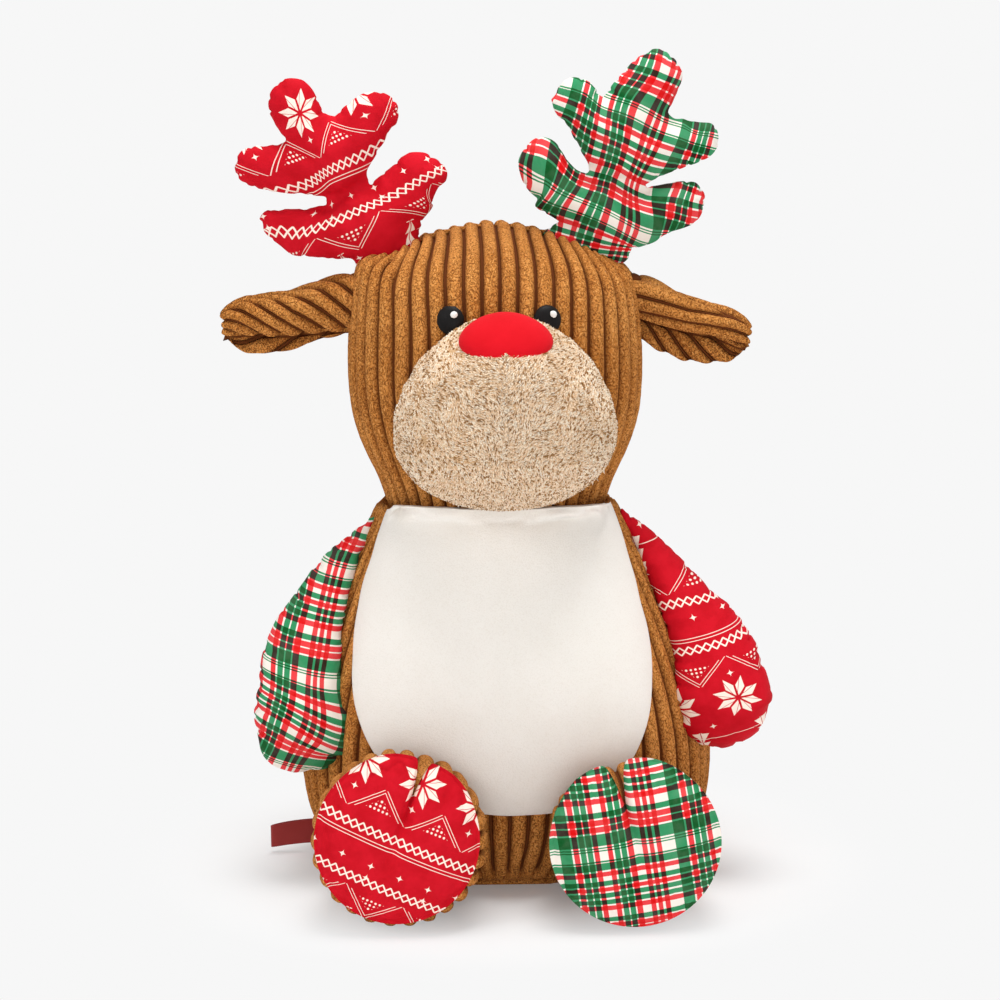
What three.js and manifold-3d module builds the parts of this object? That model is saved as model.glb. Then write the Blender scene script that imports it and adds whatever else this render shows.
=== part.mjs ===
// Plush deer, sitting, about 404 mm tall: a stuffed corduroy body and head with a heather muzzle,
// a felt nose, patterned antlers, arms and foot soles, and a plain plush belly.
// Millimetres, +Z up. The deer faces -Y and its left-hand pieces in the picture are on -X.
// The origin is the centre of the flat underside.
import * as THREE from 'three';
import { mergeVertices } from 'three/addons/utils/BufferGeometryUtils.js';
import Module from 'manifold-3d';

const wasm = await Module();
wasm.setup();

// Clearances
const gap = 0.3;
const swivelGap = 0.85;
const overrun = 20;

// Torso
const torsoHeight = 188;
const torsoHalfWidth = 104;
const torsoHalfDepth = 84;
const torsoLean = 5;
const torsoSquareness = 2.25;
// Height, half width, front and back depth, and sideways lean, as shares of the sizes above
const torsoShares = [
  [0.00, 0.80, 0.72, 0.74, 0.00],
  [0.04, 0.90, 0.85, 0.87, 0.00],
  [0.10, 0.965, 0.94, 0.95, 0.00],
  [0.18, 0.99, 0.985, 0.99, 0.00],
  [0.29, 1.00, 1.00, 1.00, 0.05],
  [0.41, 0.97, 0.985, 0.975, 0.15],
  [0.54, 0.905, 0.94, 0.92, 0.32],
  [0.67, 0.82, 0.865, 0.84, 0.52],
  [0.80, 0.72, 0.78, 0.76, 0.72],
  [0.91, 0.61, 0.71, 0.70, 0.90],
  [1.00, 0.56, 0.67, 0.68, 1.00],
];
const basePanelThickness = 3;
const basePanelInset = 5;

// Neck: a ball under the head that sits in a cup in the torso, so the head turns and nods
const neckPivotHeight = 200;
const neckSetBack = 2;
const neckBallRadius = 58;
const stuffingInnerRadius = 42;
const stuffingConeAngle = 30;
const nodClearanceAngle = 12;
const headNodAngle = 8;
const headTurnAngle = 25;

// Head
const headHeight = 124;
const headHalfWidth = 73.5;
const headHalfDepth = 70;
const headSquareness = 2.3;
const headSideShift = 1.5;
const headRoundShare = 0.4;
// Height above the neck pivot, half width, front and back depth, as shares
const headShares = [
  [-0.097, 0.765, 0.80, 0.80],
  [-0.02, 0.815, 0.86, 0.86],
  [0.06, 0.885, 0.915, 0.925],
  [0.15, 0.945, 0.955, 0.975],
  [0.25, 0.985, 0.985, 1.01],
  [0.36, 1.00, 1.00, 1.035],
  [0.50, 1.00, 1.00, 1.04],
  [0.62, 0.985, 0.985, 1.02],
  [0.72, 0.96, 0.95, 0.98],
  [0.80, 0.915, 0.895, 0.92],
  [0.865, 0.81, 0.80, 0.82],
  [0.915, 0.65, 0.65, 0.67],
  [0.955, 0.46, 0.46, 0.48],
  [0.985, 0.25, 0.25, 0.26],
];

// Muzzle, in the head's frame
const muzzleHalfWidth = 53;
const muzzleUpperHeight = 53;
const muzzleLowerHeight = 45;
const muzzleCentreHeight = 34;
const muzzleSideShift = 2;
const muzzleRootDepth = 38;
const muzzleReach = 69;
const muzzleRise = 5;
const muzzleTaperShare = 0.12;
const muzzleFullness = 0.62;

// Nose, lying on the upper front of the muzzle
const noseHalfWidth = 22;
const noseHalfHeight = 15.5;
const noseHalfThickness = 7;
const noseForward = 89;
const noseRise = 40.5;
const noseTiltAngle = 47;

// Eyes, on the head's front above the muzzle, at a share of its height
const eyeRadius = 6.5;
const eyeHalfThickness = 3.2;
const eyeSpacing = 47;
const eyeHeightShare = 0.665;
const eyeForward = 65.2;
const eyeTurnAngle = 12;
const eyeTiltAngle = 11;
const glintRadius = 1.8;
const glintHalfThickness = 1;
const glintOffset = 2;

// Antlers: stuffed tines round a stem, flattened front to back. Their seat is a share of the head's height
const antlerHeight = 94;
const antlerTineRadius = 16.3;
const antlerFlatness = 0.86;
const antlerFootHalfWidth = 15;
const antlerFootRadius = 7;
const antlerSpacing = 105;
const antlerSeatShare = 0.867;
const antlerSetForward = 1;
const antlerSeamAngle = 24;
const antlerSink = 5;
const antlerLeanAngles = { left: 6, right: -10 };
const antlerTipAngle = 25;
// Each tine's two ends, outwards and up, as shares of the height, and its radii as tine shares
const tineShares = [
  { from: [0.01, 0.02], to: [0.07, 0.16], radii: [0.775, 0.96] },
  { from: [0.07, 0.17], to: [0.145, 0.34], radii: [0.96, 0.845] },
  { from: [0.145, 0.34], to: [0.225, 0.51], radii: [0.845, 1.00] },
  { from: [0.08, 0.19], to: [0.50, 0.19], radii: [0.945, 0.58] },
  { from: [0.07, 0.20], to: [-0.235, 0.41], radii: [0.915, 0.705] },
  { from: [0.235, 0.50], to: [0.605, 0.50], radii: [0.96, 0.635] },
  { from: [0.225, 0.52], to: [0.395, 0.825], radii: [0.975, 0.735] },
  { from: [0.215, 0.51], to: [-0.015, 0.735], radii: [0.945, 0.665] },
];

// Ears: a folded leaf with a crease along its front, rooted at a share of the head's height
const earLength = 60;
const earHalfHeight = 17;
const earHalfDepth = 9.5;
const earHeightShare = 0.677;
const earRootRadius = 4.5;
const earDroop = 12;
const earSetBack = 2;
const earCreaseShare = 0.42;
const earCreaseAngle = 261;
const earCreaseHalfAngle = 29;
const earFoldAngle = 30;
// Distance along the ear, half height, half depth and drop, as shares
const earShares = [
  [-0.075, 0.70, 0.12, 0.00],
  [-0.05, 0.80, 0.36, 0.00],
  [0.00, 0.88, 0.52, 0.00],
  [0.12, 0.94, 0.80, 0.10],
  [0.30, 0.97, 1.00, 0.30],
  [0.50, 1.00, 1.00, 0.52],
  [0.68, 0.96, 0.90, 0.72],
  [0.84, 0.74, 0.70, 0.90],
  [0.95, 0.42, 0.42, 1.00],
];

// Arms: hung from a narrow seam at the shoulder
const armLengths = { left: 128, right: 121 };
const armReaches = { left: 35.5, right: 46 };
const armForward = 37;
const armHalfWidth = 23.5;
const armHalfDepth = 20;
const armSquareness = 2.1;
const shoulderHeight = 179;
const shoulderTipRadius = 3.5;
const shoulderForward = 4;
const armRaiseAngle = 75;
// Drop, reach outwards, reach forwards, half width and half depth, as shares
const armShares = [
  [0.00, 0.00, 0.00, 0.15, 0.175],
  [0.06, 0.12, 0.06, 0.26, 0.30],
  [0.16, 0.31, 0.24, 0.43, 0.48],
  [0.36, 0.66, 0.53, 0.74, 0.76],
  [0.54, 0.89, 0.78, 0.89, 0.90],
  [0.70, 0.98, 0.94, 0.99, 0.99],
  [0.82, 1.00, 1.00, 0.99, 0.97],
  [0.91, 1.01, 1.00, 0.82, 0.78],
  [0.97, 1.01, 1.00, 0.50, 0.46],
];

// Legs: short, lying forwards, ending in cloven soles
const legSpacing = 112;
const footRadius = 42;
const footFront = 133;
const footDepth = 30;
const hipRadius = 33;
const hipForward = 72;
const hipHeight = 36;
const cleftAngle = 17;
const cleftHalfAngle = 11;
const cleftShare = 0.17;
const legRest = 0.2;
const legLiftAngle = 12;
const legDropAngle = 22;
const ankleCleftShare = 0.5;
const toeShare = 0.6;
const soleThickness = 6;
const soleRim = 2.4;
const soleSeat = 1.2;
const soleFullness = 0.6;

// Belly panel
const bellyThickness = 2.2;
const bellyHalfWidth = 74;
const bellyTop = 189;
const bellyBottom = 41;
const bellyShift = 4;
// Half width and height of the panel's edge, as shares of the sizes above
const bellyShares = [
  [0.60, 1.00],
  [0.80, 0.90],
  [0.90, 0.79],
  [0.97, 0.66],
  [1.00, 0.52],
  [0.985, 0.39],
  [0.92, 0.26],
  [0.80, 0.15],
  [0.62, 0.065],
  [0.34, 0.013],
  [0.00, 0.00],
];

// Side tag: a flat loop in the left hip seam
const tagLength = 26;
const tagHeight = 12.5;
const tagThickness = 1.4;
const tagCentreHeight = 11;
const tagBack = 10;
const tagSwingAngle = 50;

// Facets
const bodySides = 28;
const bodyRings = 11;
const headSides = 28;
const headRings = 13;
const ballRings = 5;
const limbSides = 14;
const limbRings = 10;
const tineSides = 9;
const tineCapSteps = 3;
const soleSides = 26;
const hipRings = 3;
const soleRings = 3;
const muzzleSides = 24;
const muzzleRings = 8;
const noseSides = 20;
const glintSides = 8;
const earSides = 14;
const earRings = 9;
const tagSides = 8;

// Colours
const corduroyBrown = 0xa0642c;
const heatherBeige = 0xd9c3a5;
const feltRed = 0xf01f2c;
const plushWhite = 0xf0ece6;
const eyeBlack = 0x151719;
const knitRed = 0xd81f2b;
const plaidGreen = 0x3f9a6b;
const tagMaroon = 0x7a2230;
const fibreWhite = 0xf7f5f0;

// Roughness
const pileRoughness = 0.95;
const feltRoughness = 0.85;
const printRoughness = 0.8;
const threadRoughness = 0.6;
const eyeRoughness = 0.5;
const fibreRoughness = 1;

const up = new THREE.Vector3(0, 0, 1);
const across = new THREE.Vector3(1, 0, 0);
const forwards = new THREE.Vector3(0, 1, 0);
const radians = THREE.MathUtils.degToRad;

// Solids

function triangles(points, faces) {
  const geometry = new THREE.BufferGeometry();
  geometry.setAttribute('position', new THREE.Float32BufferAttribute(points, 3));
  geometry.setIndex(faces);
  return geometry;
}

// A closed skin over rings of points, with a point at each end
function loft(rings, start, end) {
  const sides = rings[0].length;
  const points = [start, ...rings.flat(), end].flatMap((point) => point.toArray());
  const faces = [];
  const corner = (ring, side) => 1 + ring * sides + (side % sides);
  const last = rings.length - 1;
  for (let side = 0; side < sides; side++) {
    faces.push(0, corner(0, side + 1), corner(0, side));
    for (let ring = 0; ring < last; ring++) {
      faces.push(corner(ring, side), corner(ring, side + 1), corner(ring + 1, side + 1));
      faces.push(corner(ring, side), corner(ring + 1, side + 1), corner(ring + 1, side));
    }
    faces.push(corner(last, side), corner(last, side + 1), 1 + rings.length * sides);
  }
  return facingOut(triangles(points, faces));
}

function facingOut(geometry) {
  const corners = [new THREE.Vector3(), new THREE.Vector3(), new THREE.Vector3()];
  const place = geometry.getAttribute('position');
  const index = geometry.getIndex();
  let volume = 0;
  for (let i = 0; i < index.count; i += 3) {
    corners.forEach((corner, k) => corner.fromBufferAttribute(place, index.getX(i + k)));
    volume += corners[0].dot(corners[1].clone().cross(corners[2]));
  }
  if (volume < 0) {
    for (let i = 0; i < index.count; i += 3) {
      const first = index.getX(i);
      index.setX(i, index.getX(i + 1));
      index.setX(i + 1, first);
    }
  }
  return geometry;
}

function toSolid(geometry) {
  const bare = geometry.clone();
  bare.deleteAttribute('normal');
  bare.deleteAttribute('uv');
  const merged = mergeVertices(bare);
  const index = merged.getIndex().array;
  const faces = [];
  for (let i = 0; i < index.length; i += 3) {
    const [a, b, c] = [index[i], index[i + 1], index[i + 2]];
    if (a !== b && b !== c && c !== a) faces.push(a, b, c);
  }
  const vertProperties = new Float32Array(merged.getAttribute('position').array);
  return new wasm.Manifold(new wasm.Mesh({ numProp: 3, vertProperties, triVerts: new Uint32Array(faces) }));
}

function toGeometry(solid) {
  const mesh = solid.getMesh();
  return triangles(Array.from(mesh.vertProperties), Array.from(mesh.triVerts));
}

function cut(geometry, ...tools) {
  return toGeometry(tools.reduce((solid, tool) => solid.subtract(toSolid(tool)), toSolid(geometry)));
}

function join(...pieces) {
  return toGeometry(pieces.map(toSolid).reduce((solid, piece) => solid.add(piece)));
}

function common(geometry, tool) {
  return toGeometry(toSolid(geometry).intersect(toSolid(tool)));
}

// Turning about a line, and reading a geometry in a group's own frame

function turned(geometry, pivot, axis, degrees) {
  const turn = new THREE.Matrix4().makeRotationAxis(axis, radians(degrees));
  return geometry.clone()
    .translate(-pivot.x, -pivot.y, -pivot.z)
    .applyMatrix4(turn)
    .translate(pivot.x, pivot.y, pivot.z);
}

function seenFrom(group, geometry) {
  group.updateWorldMatrix(true, false);
  return geometry.clone().applyMatrix4(group.matrixWorld.clone().invert());
}

// The obstacle as a piece that swings about its own origin meets it, at rest and out to both limits
function swept(obstacle, axis, low, high) {
  return [...new Set([low, 0, high])].map((angle) => turned(obstacle, new THREE.Vector3(), axis, -angle));
}

// Profiles

// A row of the table at a place from 0 to 1 along it, on a smooth curve through the rows
function rowAt(table, place) {
  const last = table.length - 1;
  const row = (i) => table[Math.min(Math.max(i, 0), last)];
  const i = Math.min(Math.floor(place * last), last - 1);
  const t = place * last - i;
  return row(i).map((value, k) => {
    const [before, after, beyond] = [row(i - 1)[k], row(i + 1)[k], row(i + 2)[k]];
    const slopeIn = (after - before) / 2;
    const slopeOut = (beyond - value) / 2;
    const rise = after - value;
    const bend = 3 * rise - 2 * slopeIn - slopeOut;
    const twist = slopeIn + slopeOut - 2 * rise;
    return value + t * (slopeIn + t * (bend + t * twist));
  });
}

function powered(value, squareness) {
  return Math.sign(value) * Math.abs(value) ** (2 / squareness);
}

// A level ring, wide across X, with its own depths to the front and the back
function levelRing(sides, centre, halfWidth, front, back, squareness) {
  return Array.from({ length: sides }, (_, i) => {
    const angle = (2 * Math.PI * i) / sides;
    const depth = Math.sin(angle) < 0 ? front : back;
    return new THREE.Vector3(
      centre.x + halfWidth * powered(Math.cos(angle), squareness),
      centre.y + depth * powered(Math.sin(angle), squareness),
      centre.z);
  });
}

// Torso

function torsoForm(grow) {
  const floor = basePanelThickness + gap;
  const rings = [];
  for (let i = 0; i <= bodyRings; i++) {
    const [height, width, front, back, lean] = rowAt(torsoShares, i / bodyRings);
    const z = i === 0 ? floor - grow : floor + height * (torsoHeight - floor);
    const centre = new THREE.Vector3(-torsoLean * lean, 0, z);
    const squareness = THREE.MathUtils.lerp(torsoSquareness, 2, lean);
    rings.push(levelRing(bodySides, centre, width * torsoHalfWidth + grow,
      front * torsoHalfDepth + grow, back * torsoHalfDepth + grow, squareness));
  }
  const bottom = new THREE.Vector3(0, 0, floor - grow);
  const top = new THREE.Vector3(-torsoLean, 0, torsoHeight);
  return loft(rings, bottom, top);
}

function neckSphere(radius) {
  return new THREE.SphereGeometry(radius, headSides, headSides / 2).rotateX(Math.PI / 2);
}

function torsoGeometry() {
  const cup = neckSphere(neckBallRadius + swivelGap).translate(...neckPivot);
  return cut(torsoForm(0), cup, ...headPoses);
}

function basePanelForm(grow) {
  const [, width, front, back] = torsoShares[0];
  const inset = basePanelInset - grow;
  const outline = (z) => levelRing(bodySides, new THREE.Vector3(0, 0, z),
    width * torsoHalfWidth - inset, front * torsoHalfDepth - inset,
    back * torsoHalfDepth - inset, torsoSquareness);
  const low = new THREE.Vector3(0, 0, -grow);
  const high = new THREE.Vector3(0, 0, basePanelThickness + grow);
  return loft([outline(low.z), outline(high.z)], low, high);
}

// The belly panel is a patch of a thicker torso skin inside an outline seen from the front
function bellyOutline(grow) {
  const point = ([width, height], side) => new THREE.Vector2(
    side * width * (bellyHalfWidth + grow) - bellyShift,
    bellyBottom - grow + height * (bellyTop - bellyBottom + 2 * grow));
  const right = bellyShares.map((row) => point(row, 1));
  const left = bellyShares.slice(0, -1).map((row) => point(row, -1)).reverse();
  return new THREE.Shape([...right, ...left]);
}

function bellyFront(grow) {
  const depth = torsoHalfDepth + overrun;
  return new THREE.ExtrudeGeometry(bellyOutline(grow), { depth, bevelEnabled: false })
    .rotateX(Math.PI / 2);
}

function bellyGeometry() {
  const skin = cut(torsoForm(bellyThickness + gap), torsoForm(gap));
  const patch = common(skin, bellyFront(0));
  const neck = neckSphere(neckBallRadius + swivelGap).translate(...neckPivot);
  return cut(patch, neck, seatedMuzzle, ...headPoses);
}

// Head and neck

function headForm(grow) {
  const rings = [];
  const ballAt = (z) => Math.sqrt((neckBallRadius + grow) ** 2 - z ** 2);
  const rim = headShares[0][0] * headHeight;
  for (let i = 1; i < ballRings; i++) {
    const z = THREE.MathUtils.lerp(-neckBallRadius, rim, Math.sin((Math.PI / 2) * (i / ballRings)) ** 2);
    const r = ballAt(z);
    rings.push(levelRing(headSides, new THREE.Vector3(0, 0, z), r, r, r, 2));
  }
  for (let i = 0; i <= headRings; i++) {
    const [height, width, front, back] = rowAt(headShares, i / headRings);
    const centre = new THREE.Vector3(-headSideShift * Math.max(height, 0), 0, height * headHeight);
    const squared = THREE.MathUtils.smoothstep(height, 0, headRoundShare);
    const squareness = THREE.MathUtils.lerp(2, headSquareness, squared);
    rings.push(levelRing(headSides, centre, width * headHalfWidth + grow,
      front * headHalfDepth + grow, back * headHalfDepth + grow, squareness));
  }
  const bottom = new THREE.Vector3(0, 0, -neckBallRadius - grow);
  const top = new THREE.Vector3(-headSideShift, 0, headHeight + grow);
  return loft(rings, bottom, top);
}

// A cone with its tip at the neck pivot, opening downwards past the ball
function neckCone(halfAngle) {
  const reach = neckBallRadius + overrun;
  const radius = reach * Math.tan(radians(halfAngle));
  return new THREE.ConeGeometry(radius, reach, headSides).rotateX(Math.PI / 2)
    .translate(0, 0, -reach / 2);
}

function neckStuffingGeometry() {
  const plug = common(neckSphere(neckBallRadius), neckCone(stuffingConeAngle));
  return cut(plug, neckSphere(stuffingInnerRadius + swivelGap));
}

function headGeometry() {
  const pocket = cut(neckCone(stuffingConeAngle + nodClearanceAngle), neckSphere(stuffingInnerRadius));
  return cut(headForm(0), pocket);
}

function muzzleForm(grow) {
  const rings = [];
  for (let i = 0; i < muzzleRings; i++) {
    const turn = ((Math.PI / 2) * i) / muzzleRings;
    const size = Math.cos(turn) ** muzzleFullness;
    const y = -muzzleRootDepth - (muzzleReach + grow) * Math.sin(turn);
    const z = muzzleCentreHeight + muzzleRise * Math.sin(turn);
    rings.push(Array.from({ length: muzzleSides }, (_, side) => {
      const angle = (2 * Math.PI * side) / muzzleSides;
      const height = Math.sin(angle) > 0 ? muzzleUpperHeight : muzzleLowerHeight;
      const narrowing = 1 - muzzleTaperShare * Math.sin(angle);
      return new THREE.Vector3(
        muzzleSideShift + (muzzleHalfWidth * size * narrowing + grow) * Math.cos(angle),
        y,
        z + (height * size + grow) * Math.sin(angle));
    }));
  }
  const root = new THREE.Vector3(muzzleSideShift, -muzzleRootDepth, muzzleCentreHeight);
  const tip = new THREE.Vector3(
    muzzleSideShift, -muzzleRootDepth - muzzleReach - grow, muzzleCentreHeight + muzzleRise);
  return loft(rings, root, tip);
}

function noseForm(grow) {
  return new THREE.SphereGeometry(1, noseSides, noseSides / 2)
    .scale(noseHalfWidth + grow, noseHalfThickness + grow, noseHalfHeight + grow)
    .rotateX(radians(-noseTiltAngle))
    .translate(muzzleSideShift, -noseForward, muzzleCentreHeight + noseRise);
}

function eyeForm(side, grow) {
  return new THREE.SphereGeometry(1, limbSides, limbSides / 2)
    .rotateX(Math.PI / 2)
    .scale(eyeRadius + grow, eyeHalfThickness + grow, eyeRadius + grow)
    .rotateX(radians(-eyeTiltAngle))
    .rotateZ(radians(side * eyeTurnAngle))
    .translate((side * eyeSpacing) / 2, -eyeForward, eyeHeightShare * headHeight);
}

// The highlight sits on the eye's dome, up and towards one side of its middle
function glintForm(side) {
  const dome = new THREE.Vector3(glintOffset, -eyeHalfThickness, glintOffset)
    .applyAxisAngle(across, radians(-eyeTiltAngle))
    .applyAxisAngle(up, radians(side * eyeTurnAngle));
  return new THREE.SphereGeometry(1, glintSides, glintSides / 2)
    .scale(glintRadius, glintHalfThickness, glintRadius)
    .translate((side * eyeSpacing) / 2 + dome.x, dome.y - eyeForward,
      eyeHeightShare * headHeight + dome.z);
}

// Antlers

// A tapered stuffed finger between two places, round-ended and flattened front to back
function tine({ from, to, radii }, side) {
  const start = new THREE.Vector3(side * from[0] * antlerHeight, 0, from[1] * antlerHeight);
  const end = new THREE.Vector3(side * to[0] * antlerHeight, 0, to[1] * antlerHeight);
  const length = start.distanceTo(end);
  const [wide, narrow] = radii.map((share) => share * antlerTineRadius);
  const profile = [];
  for (let i = 0; i <= tineCapSteps; i++) {
    const turn = (Math.PI / 2) * (i / tineCapSteps);
    profile.push(new THREE.Vector2(wide * Math.sin(turn), -wide * Math.cos(turn)));
  }
  for (let i = tineCapSteps; i >= 0; i--) {
    const turn = (Math.PI / 2) * (i / tineCapSteps);
    profile.push(new THREE.Vector2(narrow * Math.sin(turn), length + narrow * Math.cos(turn)));
  }
  const along = end.clone().sub(start).normalize();
  const turn = new THREE.Quaternion().setFromUnitVectors(forwards, along);
  return new THREE.LatheGeometry(profile, tineSides)
    .applyQuaternion(turn)
    .translate(...start)
    .scale(1, antlerFlatness, 1);
}

// A short roll along the seam, so the antler rocks on the head
function antlerFoot() {
  return new THREE.SphereGeometry(1, tineSides, tineSides / 2)
    .rotateZ(Math.PI / 2)
    .scale(antlerFootHalfWidth, antlerFootRadius, antlerFootRadius);
}

function antlerGeometry(group, name, side) {
  const turn = side * (antlerLeanAngles[name] - antlerSeamAngle);
  const tines = tineShares.map((row) =>
    tine(row, side).translate(0, 0, -antlerSink).rotateY(radians(turn)));
  const whole = join(antlerFoot(), ...tines);
  const head = seenFrom(group, headInPlace(gap));
  return cut(whole, ...swept(head, across, -antlerTipAngle, antlerTipAngle));
}

// Ears

function earRing(side, row) {
  const [along, height, depth, drop] = row;
  return Array.from({ length: earSides }, (_, i) => {
    const angle = (2 * Math.PI * i) / earSides;
    const away = (angle - radians(earCreaseAngle)) / radians(earCreaseHalfAngle);
    const crease = 1 - earCreaseShare * Math.max(along, 0) * Math.exp(-(away ** 2));
    return new THREE.Vector3(
      side * along * earLength,
      earHalfDepth * depth * crease * Math.sin(angle),
      earHalfHeight * height * Math.cos(angle) - drop * earDroop);
  });
}

function earGeometry(group, side) {
  const rings = Array.from({ length: earRings + 1 }, (_, i) => earRing(side, rowAt(earShares, i / earRings)));
  const root = new THREE.Vector3(side * earShares[0][0] * earLength, 0, 0);
  const tip = new THREE.Vector3(side * earLength, 0, -earDroop);
  const head = seenFrom(group, headInPlace(gap));
  return cut(loft(rings, root, tip), ...swept(head, up, -earFoldAngle, earFoldAngle));
}

// Arms

function armForm(name, side, grow) {
  const armLength = armLengths[name];
  const armReach = armReaches[name];
  const rings = [];
  for (let i = 0; i <= limbRings; i++) {
    const [drop, out, ahead, width, depth] = rowAt(armShares, i / limbRings);
    const centre = new THREE.Vector3(side * out * armReach, -ahead * armForward, -drop * armLength);
    rings.push(levelRing(limbSides, centre, width * armHalfWidth + grow,
      depth * armHalfDepth + grow, depth * armHalfDepth + grow, armSquareness));
  }
  const shoulder = new THREE.Vector3(0, 0, shoulderTipRadius + grow);
  const end = new THREE.Vector3(side * armReach, -armForward, -armLength - grow);
  return loft(rings, shoulder, end);
}

function armGeometry(group, name, side) {
  const body = seenFrom(group, dressedTorso);
  const head = seenFrom(group, headInPlace(gap + swivelGap));
  const swing = swept(body, forwards, 0, -side * armRaiseAngle);
  return cut(armForm(name, side, 0), ...swing, head);
}

// Legs and soles

// The foot's edge: round, with a notch between its two toes, set towards the middle of the deer
function footEdge(angle, side) {
  const notch = Math.PI / 2 + side * radians(cleftAngle);
  const away = (angle - notch) / radians(cleftHalfAngle);
  return 1 - cleftShare * Math.exp(-(away ** 2));
}

function footRing(side, y, z, radius, notchShare) {
  return Array.from({ length: soleSides }, (_, i) => {
    const angle = (2 * Math.PI * i) / soleSides;
    const r = radius * THREE.MathUtils.lerp(1, footEdge(angle, side), notchShare);
    return new THREE.Vector3(r * Math.cos(angle), y, z + r * Math.sin(angle));
  });
}

function legGeometry(group, side) {
  const footHeight = footRadius + legRest - hipHeight;
  const ankleY = hipForward + footDepth - footFront;
  const frontY = hipForward - footFront;
  const rings = [];
  for (let i = 1; i <= hipRings; i++) {
    const turn = (Math.PI / 2) * (i / hipRings);
    const r = hipRadius * Math.sin(turn);
    rings.push(footRing(side, hipRadius * Math.cos(turn), 0, r, 0));
  }
  for (let i = 1; i <= soleRings; i++) {
    const share = i / soleRings;
    const swell = THREE.MathUtils.smoothstep(share, 0, 1);
    rings.push(footRing(side, ankleY * share, footHeight * swell,
      THREE.MathUtils.lerp(hipRadius, footRadius - soleRim, swell), share * ankleCleftShare));
  }
  rings.push(footRing(side, THREE.MathUtils.lerp(ankleY, frontY, toeShare), footHeight, footRadius, 1));
  rings.push(footRing(side, frontY, footHeight, footRadius - soleRim / 2, 1));
  rings.push(footRing(side, frontY, footHeight, footRadius - soleRim - gap, 1));
  rings.push(footRing(side, frontY + soleSeat, footHeight, footRadius - soleRim - soleSeat, 1));
  const back = new THREE.Vector3(0, hipRadius, 0);
  const front = new THREE.Vector3(0, frontY + soleSeat, footHeight);
  const body = seenFrom(group, dressedTorso);
  const swing = swept(body, across, -legLiftAngle, legDropAngle);
  return cut(loft(rings, back, front), ...swing);
}

// A domed cushion of print, seated in the end of the leg
function soleGeometry(side) {
  const footHeight = footRadius + legRest - hipHeight;
  const seatY = hipForward - footFront + soleSeat - gap;
  const radius = footRadius - soleRim - soleSeat - gap;
  const rings = [];
  for (let i = 0; i < soleRings; i++) {
    const turn = ((Math.PI / 2) * i) / soleRings;
    rings.push(footRing(side, seatY - soleThickness * Math.sin(turn), footHeight,
      radius * Math.cos(turn) ** soleFullness, 1));
  }
  const seat = new THREE.Vector3(0, seatY, footHeight);
  const crown = new THREE.Vector3(0, seatY - soleThickness, footHeight);
  return loft(rings, seat, crown);
}

// Side tag

function tagGeometry(group) {
  const shape = new THREE.Shape();
  const half = tagHeight / 2;
  shape.moveTo(0, -half);
  shape.lineTo(0, half);
  shape.lineTo(half - tagLength, half);
  shape.absarc(half - tagLength, 0, half, Math.PI / 2, Math.PI * 1.5, false);
  const cloth = { depth: tagThickness, bevelEnabled: false, curveSegments: tagSides };
  const flat = new THREE.ExtrudeGeometry(shape, cloth)
    .rotateX(Math.PI / 2)
    .translate(0, tagThickness / 2, 0);
  const torso = seenFrom(group, torsoForm(gap));
  return cut(flat, ...swept(torso, up, -tagSwingAngle, tagSwingAngle));
}

// A form's half width at a height, both as shares
function widthAt(table, share) {
  const above = table.findIndex((row) => row[0] >= share);
  const [low, high] = [table[above - 1], table[above]];
  return THREE.MathUtils.mapLinear(share, low[0], high[0], low[1], high[1]);
}

function torsoSide(height) {
  const floor = basePanelThickness + gap;
  return widthAt(torsoShares, (height - floor) / (torsoHeight - floor)) * torsoHalfWidth;
}

function headSide(height) {
  return widthAt(headShares, height / headHeight) * headHalfWidth;
}

// Assembly

function at(x, y, z) {
  const group = new THREE.Group();
  group.position.set(x, y, z);
  return group;
}

function add(group, name, geometry, color, roughness) {
  const material = new THREE.MeshStandardMaterial({ color, roughness, metalness: 0 });
  const mesh = new THREE.Mesh(geometry, material);
  mesh.name = name;
  group.add(mesh);
}

const neckPivot = new THREE.Vector3(-torsoLean, neckSetBack, neckPivotHeight);
const sides = [['left', -1], ['right', 1]];

const deer = new THREE.Group();
const headGroup = at(...neckPivot);
deer.add(headGroup);

const headInPlace = (grow) => headForm(grow).translate(...neckPivot);
const muzzleInPlace = (grow) => muzzleForm(grow).translate(...neckPivot);
const seatedMuzzle = muzzleInPlace(gap);
const headTurns = [-headTurnAngle, -headTurnAngle / 2, 0, headTurnAngle / 2, headTurnAngle];
const headNods = [-headNodAngle, headNodAngle / 2, headNodAngle];
const headPoses = headTurns.flatMap((turn) => headNods.flatMap((nod) =>
  [muzzleInPlace(swivelGap), headInPlace(gap)].map((form) =>
    turned(turned(form, neckPivot, across, nod), neckPivot, up, turn))));
const bellyBlock = common(torsoForm(bellyThickness + 2 * gap), bellyFront(gap));
const dressedTorso = join(torsoForm(gap), basePanelForm(gap), bellyBlock);

add(deer, 'torso', torsoGeometry(), corduroyBrown, pileRoughness);
add(deer, 'base_panel', basePanelForm(0), corduroyBrown, pileRoughness);
add(deer, 'belly_panel', bellyGeometry(), plushWhite, pileRoughness);

add(headGroup, 'neck_stuffing', neckStuffingGeometry(), fibreWhite, fibreRoughness);
add(headGroup, 'head', headGeometry(), corduroyBrown, pileRoughness);
add(headGroup, 'muzzle', cut(muzzleForm(0), headForm(gap)), heatherBeige, pileRoughness);
add(headGroup, 'nose', cut(noseForm(0), muzzleForm(gap), headForm(gap)), feltRed, feltRoughness);
for (const [name, side] of sides) {
  const eye = cut(eyeForm(side, 0), headForm(gap), muzzleForm(gap), noseForm(gap));
  add(headGroup, `eye_${name}`, eye, eyeBlack, eyeRoughness);
  add(headGroup, `eye_${name}_glint`, cut(glintForm(side), eyeForm(side, gap)), fibreWhite, threadRoughness);
}

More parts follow.
